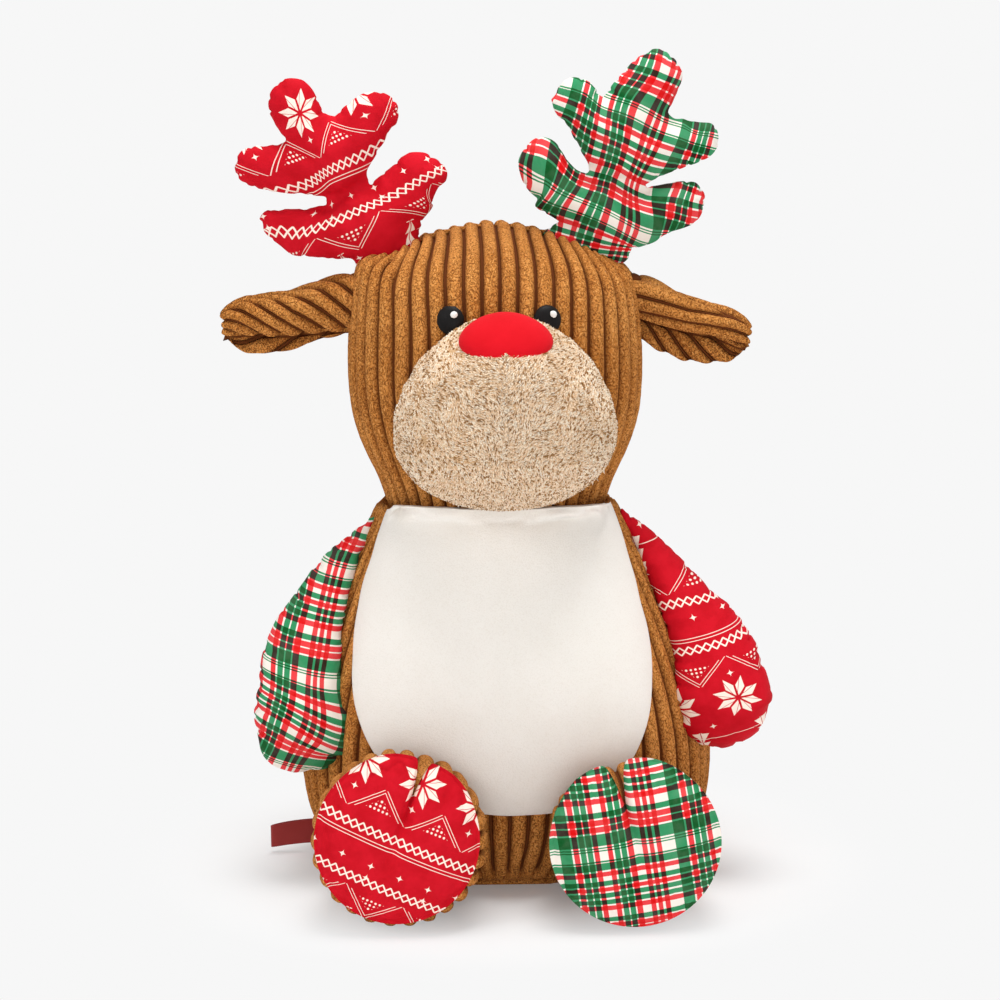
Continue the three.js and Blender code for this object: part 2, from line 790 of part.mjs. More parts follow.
for (const [name, side] of sides) {
  const lift = antlerFootRadius + gap;
  const group = at(
    side * (antlerSpacing / 2 + lift * Math.sin(radians(antlerSeamAngle))),
    -antlerSetForward,
    antlerSeatShare * headHeight + lift * Math.cos(radians(antlerSeamAngle)));
  group.rotation.y = radians(side * antlerSeamAngle);
  headGroup.add(group);
  const print = side < 0 ? knitRed : plaidGreen;
  add(group, `antler_${name}`, antlerGeometry(group, name, side), print, printRoughness);
}

for (const [name, side] of sides) {
  const earHeight = earHeightShare * headHeight;
  const reach = headSide(earHeight) + gap + earRootRadius;
  const group = at(side * reach - headSideShift, earSetBack, earHeight);
  headGroup.add(group);
  add(group, `ear_${name}`, earGeometry(group, side), corduroyBrown, pileRoughness);
}

for (const [name, side] of sides) {
  const reach = torsoSide(shoulderHeight) + gap + shoulderTipRadius;
  const group = at(side * reach - torsoLean, -shoulderForward, shoulderHeight);
  deer.add(group);
  const print = side < 0 ? plaidGreen : knitRed;
  add(group, `arm_${name}`, armGeometry(group, name, side), print, printRoughness);
}

for (const [name, side] of sides) {
  const group = at((side * legSpacing) / 2, -hipForward, hipHeight);
  deer.add(group);
  add(group, `leg_${name}`, legGeometry(group, side), corduroyBrown, pileRoughness);
  const print = side < 0 ? knitRed : plaidGreen;
  add(group, `sole_${name}`, soleGeometry(side), print, printRoughness);
}

const tagGroup = at(-torsoSide(tagCentreHeight) - gap, tagBack, tagCentreHeight);
deer.add(tagGroup);
add(tagGroup, 'side_tag', tagGeometry(tagGroup), tagMaroon, threadRoughness);

export default deer;
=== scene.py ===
"""A sitting plush deer: the sewn skins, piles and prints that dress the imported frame.

Lengths are in metres unless a name says millimetres. The deer faces -Y, and its left pieces, as the
picture shows them, are on -X.
"""
import math

import bpy
import numpy as np
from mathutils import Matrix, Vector, noise
from mathutils.bvhtree import BVHTree
from mathutils.kdtree import KDTree


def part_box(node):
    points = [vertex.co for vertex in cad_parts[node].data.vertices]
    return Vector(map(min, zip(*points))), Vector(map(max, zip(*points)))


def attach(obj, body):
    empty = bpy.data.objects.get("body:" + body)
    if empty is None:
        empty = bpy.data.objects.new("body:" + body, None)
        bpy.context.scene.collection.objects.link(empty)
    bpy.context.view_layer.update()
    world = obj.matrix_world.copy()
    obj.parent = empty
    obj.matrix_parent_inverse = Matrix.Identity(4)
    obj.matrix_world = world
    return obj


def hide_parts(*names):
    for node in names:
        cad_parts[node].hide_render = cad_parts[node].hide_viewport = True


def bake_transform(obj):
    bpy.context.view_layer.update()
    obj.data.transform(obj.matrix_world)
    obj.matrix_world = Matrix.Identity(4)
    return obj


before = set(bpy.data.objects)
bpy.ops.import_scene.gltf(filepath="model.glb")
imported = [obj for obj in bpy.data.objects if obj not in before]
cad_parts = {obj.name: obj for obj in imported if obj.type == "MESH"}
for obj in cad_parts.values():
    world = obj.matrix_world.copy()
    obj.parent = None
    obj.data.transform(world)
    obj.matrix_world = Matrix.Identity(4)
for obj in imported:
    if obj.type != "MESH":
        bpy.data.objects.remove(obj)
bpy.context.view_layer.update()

MM = 0.001
SIDES = (("left", -1), ("right", 1))

# Camera, at the photograph's viewing angle
CAMERA_TARGET = Vector((-3.2, 0, 184)) * MM
CAMERA_DISTANCE = 1600 * MM
CAMERA_TURN = math.radians(2.5)
CAMERA_RISE = math.radians(10)
CAMERA_LENS = 114.8

# Simulation of stuffed cloth
SIM_FRAMES = 20
SIM_PRESSURE = 4
CLOTH_QUALITY = 6
CLOTH_MASS = 0.15
CLOTH_STIFFNESS = 15
CLOTH_BENDING = 0.3
# Size that a soft core starts from, as a share of its node
CORE_START = 0.985
CORE_RELAX_TIMES = 6
RELAX_SHARE = 0.5


# Meshes


def only(piece):
    """Selects one piece and makes it the active one."""
    bpy.ops.object.select_all(action="DESELECT")
    piece.select_set(True)
    bpy.context.view_layer.objects.active = piece


def finish_with(piece, kind, **settings):
    """Adds a modifier and applies it."""
    only(piece)
    modifier = piece.modifiers.new(kind.lower(), kind)
    for name, value in settings.items():
        setattr(modifier, name, value)
    bpy.ops.object.modifier_apply(modifier=modifier.name)
    return piece


def relax(piece, times):
    """Evens a surface out a little, so many times over."""
    return finish_with(piece, "SMOOTH", factor=RELAX_SHARE, iterations=times)


def points_of(piece):
    flat = np.empty(len(piece.data.vertices) * 3)
    piece.data.vertices.foreach_get("co", flat)
    return flat.reshape(-1, 3)


def normals_of(piece):
    flat = np.empty(len(piece.data.vertices) * 3)
    piece.data.vertex_normals.foreach_get("vector", flat)
    return flat.reshape(-1, 3)


def place_points(piece, points):
    piece.data.vertices.foreach_set("co", np.asarray(points, float).ravel())
    piece.data.update()
    return piece


def named(piece, name):
    piece.name = name
    piece.data.name = name
    return piece


def smooth(piece):
    only(piece)
    bpy.ops.object.shade_smooth()
    return piece


def outward(piece):
    """Turns all faces of a closed piece outwards."""
    only(piece)
    bpy.ops.object.mode_set(mode="EDIT")
    bpy.ops.mesh.select_all(action="SELECT")
    bpy.ops.mesh.normals_make_consistent(inside=False)
    bpy.ops.object.mode_set(mode="OBJECT")
    return piece


def copy_of(node, name):
    """A new piece with a CAD node's shape, its loose triangles merged."""
    piece = bpy.data.objects.new(name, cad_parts[node].data.copy())
    bpy.context.scene.collection.objects.link(piece)
    piece.data.materials.clear()
    only(piece)
    bpy.ops.object.mode_set(mode="EDIT")
    bpy.ops.mesh.select_all(action="SELECT")
    bpy.ops.mesh.remove_doubles(threshold=0.01 * MM)
    bpy.ops.object.mode_set(mode="OBJECT")
    return piece


def joined(first, *others):
    only(first)
    for other in others:
        other.select_set(True)
    bpy.ops.object.join()
    return first


def remove(piece):
    bpy.data.objects.remove(piece, do_unlink=True)


def inflate(piece, cap, keep=(1, 1, 1)):
    """Blows a closed cloth shell up, by no more than the cap. Keep is each axis's share of it."""
    rest = points_of(piece)
    only(piece)
    modifier = piece.modifiers.new("cloth", "CLOTH")
    cloth = modifier.settings
    cloth.quality = CLOTH_QUALITY
    cloth.mass = CLOTH_MASS
    cloth.tension_stiffness = CLOTH_STIFFNESS
    cloth.compression_stiffness = CLOTH_STIFFNESS
    cloth.shear_stiffness = CLOTH_STIFFNESS / 2
    cloth.bending_stiffness = CLOTH_BENDING
    cloth.use_pressure = True
    cloth.uniform_pressure_force = SIM_PRESSURE
    cloth.effector_weights.gravity = 0
    for step in range(1, SIM_FRAMES + 1):
        bpy.context.scene.frame_set(step)
    bpy.ops.object.modifier_apply(modifier=modifier.name)
    bpy.context.scene.frame_set(1)
    move = points_of(piece) - rest
    length = np.linalg.norm(move, axis=1, keepdims=True)
    share = np.minimum(1, np.reshape(cap, (-1, 1)) / np.maximum(length, 1e-9))
    return place_points(piece, rest + move * share * keep)


def stuffed_core(node, voxel, start, cap):
    """The soft form of a CAD node: remeshed, drawn in a little and blown up again."""
    core = copy_of(node, node + "_core")
    finish_with(core, "REMESH", mode="VOXEL", voxel_size=voxel)
    points = points_of(core)
    centre = (points.min(0) + points.max(0)) / 2
    place_points(core, centre + (points - centre) * start)
    inflate(core, cap)
    relax(core, CORE_RELAX_TIMES)
    return fit_box(core, node)


def fit_box(piece, node):
    """Stretches a piece until it fills the box of its CAD node."""
    low, high = (np.array(corner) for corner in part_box(node))
    points = points_of(piece)
    share = (points - points.min(0)) / (points.max(0) - points.min(0))
    return place_points(piece, low + share * (high - low))


def surface_of(piece):
    """A tree for casting rays onto a piece."""
    mesh = piece.data
    return BVHTree.FromPolygons(
        [v.co for v in mesh.vertices], [p.vertices for p in mesh.polygons]
    )


def cast_out(tree, centre, directions):
    """Where rays from the centre leave the surface."""
    placed = np.empty((len(directions), 3))
    for i, direction in enumerate(directions):
        hit = tree.ray_cast(centre, Vector(direction))[0]
        placed[i] = hit if hit else centre
    return placed


def wander(points, size, seed=0.0):
    """Smooth noise from -1 to 1 at each point, with bumps of the given size."""
    shift = Vector((seed, 2.3 * seed, 5.1))
    return np.array([noise.noise(Vector(p) / size + shift) for p in points])


# Shapes over a surface


def ramp(value, start, end):
    """Goes from 0 at start to 1 at end, and stays there."""
    return np.clip((value - start) / (end - start), 0, 1)


def eased(share):
    """A share that leaves 0 and reaches 1 gently."""
    return share * share * (3 - 2 * share)


def bell(distance, width):
    """1 where the distance is nothing, fading out over the width."""
    return np.exp(-((distance / width) ** 2))


def turned(points, angle, first, second):
    """Points turned in the plane of two axes."""
    moved = points.copy()
    moved[:, first] = math.cos(angle) * points[:, first] - math.sin(angle) * points[:, second]
    moved[:, second] = math.sin(angle) * points[:, first] + math.cos(angle) * points[:, second]
    return moved


def unit_sphere(columns, rings):
    """A sphere of radius 1 with its UV map, and each point's turn from the front and its rise."""
    bpy.ops.object.select_all(action="DESELECT")
    bpy.ops.mesh.primitive_uv_sphere_add(segments=columns, ring_count=rings, radius=1)
    ball = bpy.context.object
    x, y, z = points_of(ball).T
    return ball, np.arctan2(x, -y), np.arcsin(np.clip(z, -1, 1))


def ways_up(turn, rise):
    """Directions from a sphere whose poles stand upright."""
    return np.stack([np.sin(turn) * np.cos(rise), -np.cos(turn) * np.cos(rise), np.sin(rise)], 1)


def ways_forward(turn, rise):
    """Directions from a sphere whose poles point to the front and the back."""
    return np.stack([np.sin(turn) * np.cos(rise), -np.sin(rise), np.cos(turn) * np.cos(rise)], 1)


def mark(piece, name, values):
    """Keeps a number for each point that a material can read."""
    layer = piece.data.attributes.new(name, "FLOAT", "POINT")
    layer.data.foreach_set("value", np.asarray(values, np.float32))


def marks_of(piece, name):
    values = np.empty(len(piece.data.vertices), np.float32)
    piece.data.attributes[name].data.foreach_get("value", values)
    return values


def scale_uv(piece, width, length):
    layer = piece.data.uv_layers.active.data
    flat = np.empty(len(layer) * 2)
    layer.foreach_get("uv", flat)
    layer.foreach_set("uv", (flat.reshape(-1, 2) * (width, length)).ravel())


def set_flat_uv(piece, u, v):
    """Gives each point the place on the flat cloth that it was cut from."""
    mesh = piece.data
    layer = mesh.uv_layers.active or mesh.uv_layers.new(name="UVMap")
    corner_points = np.empty(len(mesh.loops), int)
    mesh.loops.foreach_get("vertex_index", corner_points)
    flat = np.stack([np.asarray(u)[corner_points], np.asarray(v)[corner_points]], 1)
    layer.data.foreach_set("uv", flat.ravel())


# Corduroy ribs

RIB_WIDTH = 10 * MM
RIB_DEPTH = 3.5 * MM
RIB_COLUMNS = 12
# Width of a rib's round part as a share of the whole, and how full its round is
RIB_SHARE = 0.84
RIB_ROUND = 2.1
RIB_LUMPS = 0.35 * MM
RIB_LUMP_SIZE = 3.2 * MM
RIB_WANDER = 0.9 * MM
# How far the columns of points crowd from the ribs' tops to their grooves
RIB_CROWD = 0.45


def rib_height(phase):
    """How high a rounded rib stands: 1 along its top and 0 on the valley's ground."""
    across = np.abs(2 * (phase % 1) - 1)
    return np.sqrt(1 - np.clip(across / RIB_SHARE, 0, 1) ** RIB_ROUND)


def crowd_to_grooves(turn, ribs):
    """Moves columns towards the grooves, where the surface turns most."""
    step = 2 * math.pi / ribs
    phase = turn / step
    return (phase - RIB_CROWD * np.sin(2 * math.pi * phase) / (2 * math.pi)) * step


def rib_sway(ways, reach, wave, seed):
    """How far the ribs stray sideways, as a share of their reach from the middle."""
    return wander(ways * reach, wave, seed) * RIB_WANDER / reach


def lay_ribs(piece, turn, ribs, strength):
    """Presses the grooves between ribs into a skin along its normals."""
    height = rib_height(turn / (2 * math.pi) * ribs)
    points = points_of(piece)
    lumps = (0.5 + 0.5 * wander(points, RIB_LUMP_SIZE, ribs)) * RIB_LUMPS
    press = ((1 - height) * RIB_DEPTH + lumps) * strength
    place_points(piece, points - normals_of(piece) * press[:, None])
    # Groove depth, which the corduroy also turns into painted shade on the ribs' flanks
    mark(piece, "groove_and_shadow", (1 - height) * strength)
    return piece


# Head

HEAD_VOXEL = 5 * MM
HEAD_CAP = 6 * MM
HEAD_RIBS = 44
HEAD_RINGS = 96
HEAD_CENTRE_Z = 262 * MM
HEAD_HALF_WIDTH = 70 * MM
HEAD_WAVE = 48.6 * MM
# How far the ribs spread from the front towards the sides
HEAD_SPREAD = 0.17
HEAD_RIBS_END_Z = 168 * MM
HEAD_RIBS_FULL_Z = 178 * MM
HEAD_CLOTH_LENGTH = 250 * MM
# How wide the seam over the crown is, so that the ribs meet it well apart
CROWN_SEAM_SHARE = 1.15
# How far the crown rises, at distances to each side of its middle, in millimetres
CROWN_MIDDLE = -6 * MM
CROWN_START_Z = 270 * MM
CROWN_FULL_Z = 305 * MM
CROWN_ACROSS = (0, 22, 38, 51, 60, 68, 85)
CROWN_LIFTS = {
    "left": (0.6, -1.0, -1.2, -2.6, 2.0, 8.0, 9.0),
    "right": (0.6, -1.0, -1.4, -2.6, -2.0, 2.5, 5.0),
}


def crown_lift(points):
    """How far the crown rises over the middle and drops over the antlers' seams."""
    across = (points[:, 0] - CROWN_MIDDLE) / MM
    left = np.interp(-across, CROWN_ACROSS, CROWN_LIFTS["left"])
    right = np.interp(across, CROWN_ACROSS, CROWN_LIFTS["right"])
    high = eased(ramp(points[:, 2], CROWN_START_Z, CROWN_FULL_Z))
    return np.where(across < 0, left, right) * high * MM


def head_skin():
    core = stuffed_core("head", HEAD_VOXEL, CORE_START, HEAD_CAP)
    low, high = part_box("head")
    centre = Vector(((low.x + high.x) / 2, (low.y + high.y) / 2, HEAD_CENTRE_Z))
    skin, turn, rise = unit_sphere(HEAD_RIBS * RIB_COLUMNS, HEAD_RINGS)
    turn = crowd_to_grooves(turn, HEAD_RIBS)
    spread = turn - HEAD_SPREAD * np.sin(2 * turn) / 2
    up = np.clip(rise, 0, None)
    across = np.cos(up) + CROWN_SEAM_SHARE * (1 - np.cos(up))
    across = np.where(rise < 0, np.cos(rise), across)
    ways = ways_up(spread, rise)
    ways[:, 0] = np.sin(spread) * across
    ways[:, 0] += np.cos(spread) * rib_sway(ways, HEAD_HALF_WIDTH, HEAD_WAVE, 1)
    place_points(skin, cast_out(surface_of(core), centre, ways))
    remove(core)
    named(skin, "head_skin")
    points = points_of(skin)
    points[:, 2] += crown_lift(points)
    place_points(skin, points)
    lay_ribs(skin, turn, HEAD_RIBS, ramp(points[:, 2], HEAD_RIBS_END_Z, HEAD_RIBS_FULL_Z))
    scale_uv(skin, HEAD_RIBS * RIB_WIDTH, HEAD_CLOTH_LENGTH)
    return smooth(skin)


# Torso

TORSO_VOXEL = 5 * MM
TORSO_CAP = 6 * MM
TORSO_RIBS = 56
TORSO_RINGS = 120
TORSO_CENTRE = Vector((-2, 0, 85)) * MM
TORSO_HALF_WIDTH = 90 * MM
TORSO_WAVE = 60 * MM
TORSO_CLOTH_LENGTH = 300 * MM
TORSO_RIBS_TOP_Z = 186 * MM
TORSO_RIBS_TOP_FADE = 10 * MM
TORSO_RIBS_BOTTOM_Z = 4 * MM
TORSO_RIBS_BOTTOM_FADE = 6 * MM
# The body sags at its foot, and bulges forwards between the legs
SAG_DROP = 5 * MM
SAG_TOP_Z = 34 * MM
SAG_FULL_Z = 8 * MM
SAG_FLOOR_Z = 10 * MM
BULGE_REACH = 7 * MM
BULGE_HALF_WIDTH = 30 * MM
BULGE_FULL_Y = 50 * MM
# The plain panel in the body's front, whose rim is written as x and z in millimetres
BELLY_TOP = 189.5 * MM
BELLY_SINK = 3.2 * MM
BELLY_SEAM_SHARE = 0.985
BELLY_SUNK_SHARE = 0.955
BELLY_MIDDLE = np.array([-4, 117]) * MM
BELLY_TURNS = 180
BELLY_RIM = (
    (-56.4, 193), (-61.9, 178), (-67.8, 160.5), (-74.7, 137), (-77.3, 115.5), (-77, 93.6),
    (-71.5, 78), (-62, 64), (-48, 53.5), (-30, 46.8), (-15.4, 44.4), (-4, 43.4), (7, 43.8),
    (20, 44.4), (34, 47.5), (46.5, 54), (60, 71), (66.5, 86), (68.8, 104), (68.5, 121),
    (63.8, 140.5), (58.6, 161.5), (52.4, 182.1), (48, 193), (20, 194), (-5, 194), (-30, 194),
)


def belly_reach():
    """A function that gives the panel's reach from its middle at each turn from upright."""
    away = np.array(BELLY_RIM) * MM - BELLY_MIDDLE
    angle = np.arctan2(away[:, 0], away[:, 1])
    reach = np.hypot(away[:, 0], away[:, 1])
    order = np.argsort(angle)
    turns = np.linspace(-math.pi, math.pi, BELLY_TURNS + 1)[:-1]
    edge = np.interp(turns, angle[order], reach[order], period=2 * math.pi)
    for _ in range(3):
        edge = (np.roll(edge, 1) + 2 * edge + np.roll(edge, -1)) / 4
    return lambda turn: np.interp(turn, turns, edge, period=2 * math.pi)


def under_belly(points):
    """1 where the torso lies under the panel, 0 outside the panel's seam."""
    x = points[:, 0] - BELLY_MIDDLE[0]
    z = points[:, 2] - BELLY_MIDDLE[1]
    share = np.hypot(x, z) / belly_reach()(np.arctan2(x, z))
    return ramp(share, BELLY_SEAM_SHARE, BELLY_SUNK_SHARE) * (points[:, 1] < 0)


def sag(points):
    """Lets the foot of the body down and out between the legs."""
    x, y, z = points.T.copy()
    low = ramp(z, SAG_TOP_Z, SAG_FULL_Z)
    middle = np.exp(-((x / BULGE_HALF_WIDTH) ** 4)) * (y < 0)
    z -= SAG_DROP * low * ramp(z, 0, SAG_FLOOR_Z)
    y -= BULGE_REACH * low * middle * ramp(-y, 0, BULGE_FULL_Y)
    return np.stack([x, y, z], 1)


def torso_skin():
    core = stuffed_core("torso", TORSO_VOXEL, CORE_START, TORSO_CAP)
    skin, turn, rise = unit_sphere(TORSO_RIBS * RIB_COLUMNS, TORSO_RINGS)
    turn = crowd_to_grooves(turn, TORSO_RIBS)
    ways = ways_up(turn, rise)
    ways[:, 0] += np.cos(turn) * rib_sway(ways, TORSO_HALF_WIDTH, TORSO_WAVE, 2)
    place_points(skin, cast_out(surface_of(core), TORSO_CENTRE, ways))
    named(skin, "torso_skin")
    points = sag(points_of(skin))
    place_points(skin, points)
    under = under_belly(points)
    strength = ramp(points[:, 2], TORSO_RIBS_TOP_Z, TORSO_RIBS_TOP_Z - TORSO_RIBS_TOP_FADE)
    strength *= ramp(points[:, 2], TORSO_RIBS_BOTTOM_Z, TORSO_RIBS_BOTTOM_Z + TORSO_RIBS_BOTTOM_FADE)
    lay_ribs(skin, turn, TORSO_RIBS, strength * (1 - under))
    place_points(skin, points_of(skin) - normals_of(skin) * (BELLY_SINK * under)[:, None])
    scale_uv(skin, TORSO_RIBS * RIB_WIDTH, TORSO_CLOTH_LENGTH)
    return smooth(skin), core


# Legs and soles

LEG_VOXEL = 4 * MM
LEG_CAP = 4 * MM
LEG_START = 0.98
FOOT_RIBS = 26
LEG_RINGS = 72
FOOT_CENTRE_X = 56 * MM
FOOT_CENTRE_Y = -100 * MM
FOOT_CENTRE_Z = 42.2 * MM
LEG_CLOTH_LENGTH = 140 * MM
# The ribs end on the foot's front, at this angle from its rim
FOOT_RIBS_END = math.radians(62)
FOOT_RIBS_FADE = 0.15
# How much the foot narrows to its front rim, and how far its top drops, in millimetres
FOOT_RIM_START_Y = -95 * MM
FOOT_RIM_FULL_Y = -120 * MM
FOOT_RIM_SHARES = {"left": 1.0, "right": 0.955}
FOOT_DROP_START_Z = 38 * MM
FOOT_DROP_FULL_Z = 78 * MM
FOOT_DROPS = {"left": 0, "right": 7.0}

SOLE_FRONT_Y = -131.6 * MM
SOLE_COLUMNS = 144
SOLE_RINGS = 60
SOLE_LEAN = 0.1
# How far behind the sole's front the corduroy stays, inside this share of the outline
SOLE_SEAT = 2.4 * MM
SOLE_SEAT_SHARE = 0.985
# The dome: its height, and how square and how steep its edge is
SOLE_RISE = 9.5 * MM
SOLE_SQUARENESS = 2.6
SOLE_STEEPNESS = 0.62
SOLE_LIP = 2 * MM
SOLE_BACK_RISE = 1.4 * MM
# How far the columns crowd to the slot between the toes
SOLE_CROWD = 0.72
SOLE_PUCKERS = 46
SOLE_PUCKER_DEPTH = 0.5 * MM
SOLE_PUCKER_SHARE = 0.72
# The crease that runs on from the slot: narrow in a wide dip
CREASE_END = -16 * MM
CREASE_FULL = 10 * MM
CREASE_DEPTH = 3.4 * MM
CREASE_WIDTH = 2.2 * MM
CREASE_DIP = 1.6 * MM
CREASE_DIP_WIDTH = 7 * MM
SLACK_DEPTH = 0.9 * MM
SLACK_SIZE = 17 * MM
RUCK_DEPTH = 1.3 * MM
RUCK_SIZE = 9 * MM
RUCK_SHARE = 0.2
TOE_LOBE = 0.03
TOE_LOBE_TURN = 0.45
TOE_LOBE_WIDTH = 0.3
SOLES = {
    # middle as x and z, half width and half height, in millimetres
    "left": (-57.2, 45.8, 38.9, 39.5),
    "right": (54.8, 42.8, 40.6, 39.4),
}
CLEFTS = {
    "left": {"turn": math.radians(20), "depth": 0.46, "half_turn": 0.05},
    "right": {"turn": math.radians(-14), "depth": 0.54, "half_turn": 0.075},
}


def sole_outline(turn, cleft):
    """The sole's radius at each turn from upright, with the slot between its two toes."""
    away = (turn - cleft["turn"] + math.pi) % (2 * math.pi) - math.pi
    slot = cleft["depth"] * bell(away, cleft["half_turn"])
    lobes = TOE_LOBE * bell(np.abs(away) - TOE_LOBE_TURN, TOE_LOBE_WIDTH)
    return (1 + lobes) * (1 - slot)


def seat_under_sole(points, name):
    """Keeps the corduroy behind the sole that is sewn over it."""
    middle_x, middle_z, half_width, half_height = np.array(SOLES[name]) * MM
    x = (points[:, 0] - middle_x) / half_width
    z = (points[:, 2] - middle_z) / half_height
    inside = np.hypot(x, z) < SOLE_SEAT_SHARE * sole_outline(np.arctan2(x, z), CLEFTS[name])
    seat = SOLE_FRONT_Y + SOLE_SEAT + SOLE_LEAN * (points[:, 2] - middle_z)
    points[:, 1] = np.where(inside, np.maximum(points[:, 1], seat), points[:, 1])
    return points


def leg_skin(name, side):
    core = stuffed_core("leg_" + name, LEG_VOXEL, LEG_START, LEG_CAP)
    centre = Vector((side * FOOT_CENTRE_X, FOOT_CENTRE_Y, FOOT_CENTRE_Z))
    skin, turn, rise = unit_sphere(FOOT_RIBS * RIB_COLUMNS, LEG_RINGS)
    turn = crowd_to_grooves(turn, FOOT_RIBS)
    place_points(skin, cast_out(surface_of(core), centre, ways_forward(turn, rise)))
    remove(core)
    points = points_of(skin)
    front = ramp(points[:, 1], FOOT_RIM_START_Y, FOOT_RIM_FULL_Y)
    middle = np.array([side * FOOT_CENTRE_X, 0, FOOT_CENTRE_Z])
    size = 1 - (1 - FOOT_RIM_SHARES[name]) * front[:, None] * np.array([1, 0, 1])
    points = middle + (points - middle) * size
    high = eased(ramp(points[:, 2], FOOT_DROP_START_Z, FOOT_DROP_FULL_Z))
    points[:, 2] -= FOOT_DROPS[name] * MM * high
    place_points(skin, points)
    named(skin, f"leg_{name}_skin")
    outward(skin)
    lay_ribs(skin, turn, FOOT_RIBS, ramp(rise, FOOT_RIBS_END, FOOT_RIBS_END - FOOT_RIBS_FADE))
    place_points(skin, seat_under_sole(points_of(skin), name))
    scale_uv(skin, FOOT_RIBS * RIB_WIDTH, LEG_CLOTH_LENGTH)
    return smooth(skin)


def sole_dome(share, turn, rise):
    """How far the sole's front stands out, puckered at its seam."""
    edge = ramp(share, SOLE_PUCKER_SHARE, 1)
    puckers = np.sin(SOLE_PUCKERS * turn + 2 * np.sin(5 * turn)) * SOLE_PUCKER_DEPTH * edge
    dome = (1 - share**SOLE_SQUARENESS) ** SOLE_STEEPNESS
    return SOLE_RISE * dome + puckers * np.sin(rise)


def sole_crease(x, z, cleft):
    """How deep the crease is that runs on from the slot."""
    along = x * math.sin(cleft["turn"]) + z * math.cos(cleft["turn"])
    aside = x * math.cos(cleft["turn"]) - z * math.sin(cleft["turn"])
    crease = CREASE_DEPTH * bell(aside, CREASE_WIDTH) + CREASE_DIP * bell(aside, CREASE_DIP_WIDTH)
    return crease * ramp(along, CREASE_END, CREASE_FULL)


def sole_slack(points, share, side):
    """Soft swells and rucks in the sole's cloth."""
    flat = points * (1, 0, 1)
    swell = wander(flat, SLACK_SIZE, 3 + side) * SLACK_DEPTH
    ruck = ramp(np.abs(wander(flat, RUCK_SIZE, 8 + side)), RUCK_SHARE, 0) ** 2
    return swell - RUCK_DEPTH * ruck * ramp(share, 0.55, 0.85)


def sole_pillow(name, side):
    cleft = CLEFTS[name]
    middle_x, middle_z, half_width, half_height = np.array(SOLES[name]) * MM
    pillow, turn, rise = unit_sphere(SOLE_COLUMNS, SOLE_RINGS)
    turn = cleft["turn"] + turn - SOLE_CROWD * np.sin(turn)
    share = np.cos(rise)
    radius = share * sole_outline(turn, cleft)
    x = radius * np.sin(turn) * half_width
    z = radius * np.cos(turn) * half_height
    front = SOLE_LIP - sole_dome(share, turn, rise) + sole_crease(x, z, cleft) * np.sin(rise)
    back = SOLE_BACK_RISE * np.sin(-rise)
    y = SOLE_FRONT_Y + np.where(rise > 0, front, back) + SOLE_LEAN * z
    points = np.stack([middle_x + x, y, middle_z + z], 1)
    points[:, 1] -= sole_slack(points, share, side) * (rise > 0)
    place_points(pillow, points)
    set_flat_uv(pillow, x, z)
    named(pillow, f"sole_{name}_pillow")
    return smooth(outward(pillow))


# Pillows: antlers and arms

# How a pillow is sewn and filled: voxel, growth, cap, and share of the node's depth to start from
ANTLER_SEWING = {"voxel": 2.5 * MM, "grow": 1.3 * MM, "flat_share": 0.6, "cap": 7 * MM}
ARM_SEWING = {"voxel": 4 * MM, "grow": 0.8 * MM, "flat_share": 0.95, "cap": 4 * MM}
# How freely the cloth moves along each axis as the pillow fills
PILLOW_KEEP = (0.3, 1, 0.3)
ANTLER_FOOT_DEPTH = 10
ANTLER_FOOT_RISE = 9
ANTLER_FOOT_Y = 1.2
ANTLER_FEET = {
    # middle of the seam as x and z in millimetres, half its length, and its slope in degrees
    "left": (-61, 308, 17, 24),
    "right": (45, 310, 19, -20),
}
# Where each antler folds across its waist, as x and z at the two edges, in millimetres
ANTLER_WAISTS = {
    "left": ((-91.5, 332.2), (-65.8, 344.4)),
    "right": ((39.8, 347.1), (68.5, 341.1)),
}
WAIST_DEPTH = 6 * MM
WAIST_WIDTH = 3.5 * MM
WAIST_OVERRUN = 4 * MM
WAIST_LIMIT_SHARE = 0.6
# Puckers along the seams: depth, how far they reach from the seam, and how wide they are
ANTLER_PUCKERS = {"depth": 1.2 * MM, "reach": 13 * MM, "size": 9 * MM}
ARM_PUCKERS = {"depth": 1.5 * MM, "reach": 14 * MM, "size": 7 * MM}
PUCKER_SHARE = 0.22
# A point belongs to the seam where its normal leaves the cloth's plane by less than this
SEAM_TILT = 0.25
PULL_REACH = 3 * MM


def sewn_pillow(node, name, voxel, grow, flat_share, cap, foot=None):
    """A pillow sewn from a front and a back of the node's outline, then stuffed."""
    pillow = copy_of(node, name)
    if foot:
        pillow = joined(pillow, foot)
    finish_with(pillow, "REMESH", mode="VOXEL", voxel_size=voxel)
    place_points(pillow, points_of(pillow) + normals_of(pillow) * grow)
    relax(pillow, 4)
    points = points_of(pillow)
    middle = (points[:, 1].min() + points[:, 1].max()) / 2
    set_flat_uv(pillow, points[:, 0], points[:, 2])
    points[:, 1] = middle + (points[:, 1] - middle) * flat_share
    place_points(pillow, points)
    inflate(pillow, cap, keep=PILLOW_KEEP)
    finish_with(pillow, "SUBSURF", levels=1, render_levels=1)
    return smooth(pillow)


def antler_foot(name):
    """The wide end of an antler's stem, sewn into the crown."""
    x, z, half, slope = ANTLER_FEET[name]
    bpy.ops.object.select_all(action="DESELECT")
    bpy.ops.mesh.primitive_uv_sphere_add(segments=32, ring_count=20, radius=1)
    foot = bpy.context.object
    points = points_of(foot) * np.array([half, ANTLER_FOOT_DEPTH, ANTLER_FOOT_RISE])
    sloped = turned(points, math.radians(slope), 0, 2)
    return place_points(foot, (sloped + np.array([x, ANTLER_FOOT_Y, z])) * MM)


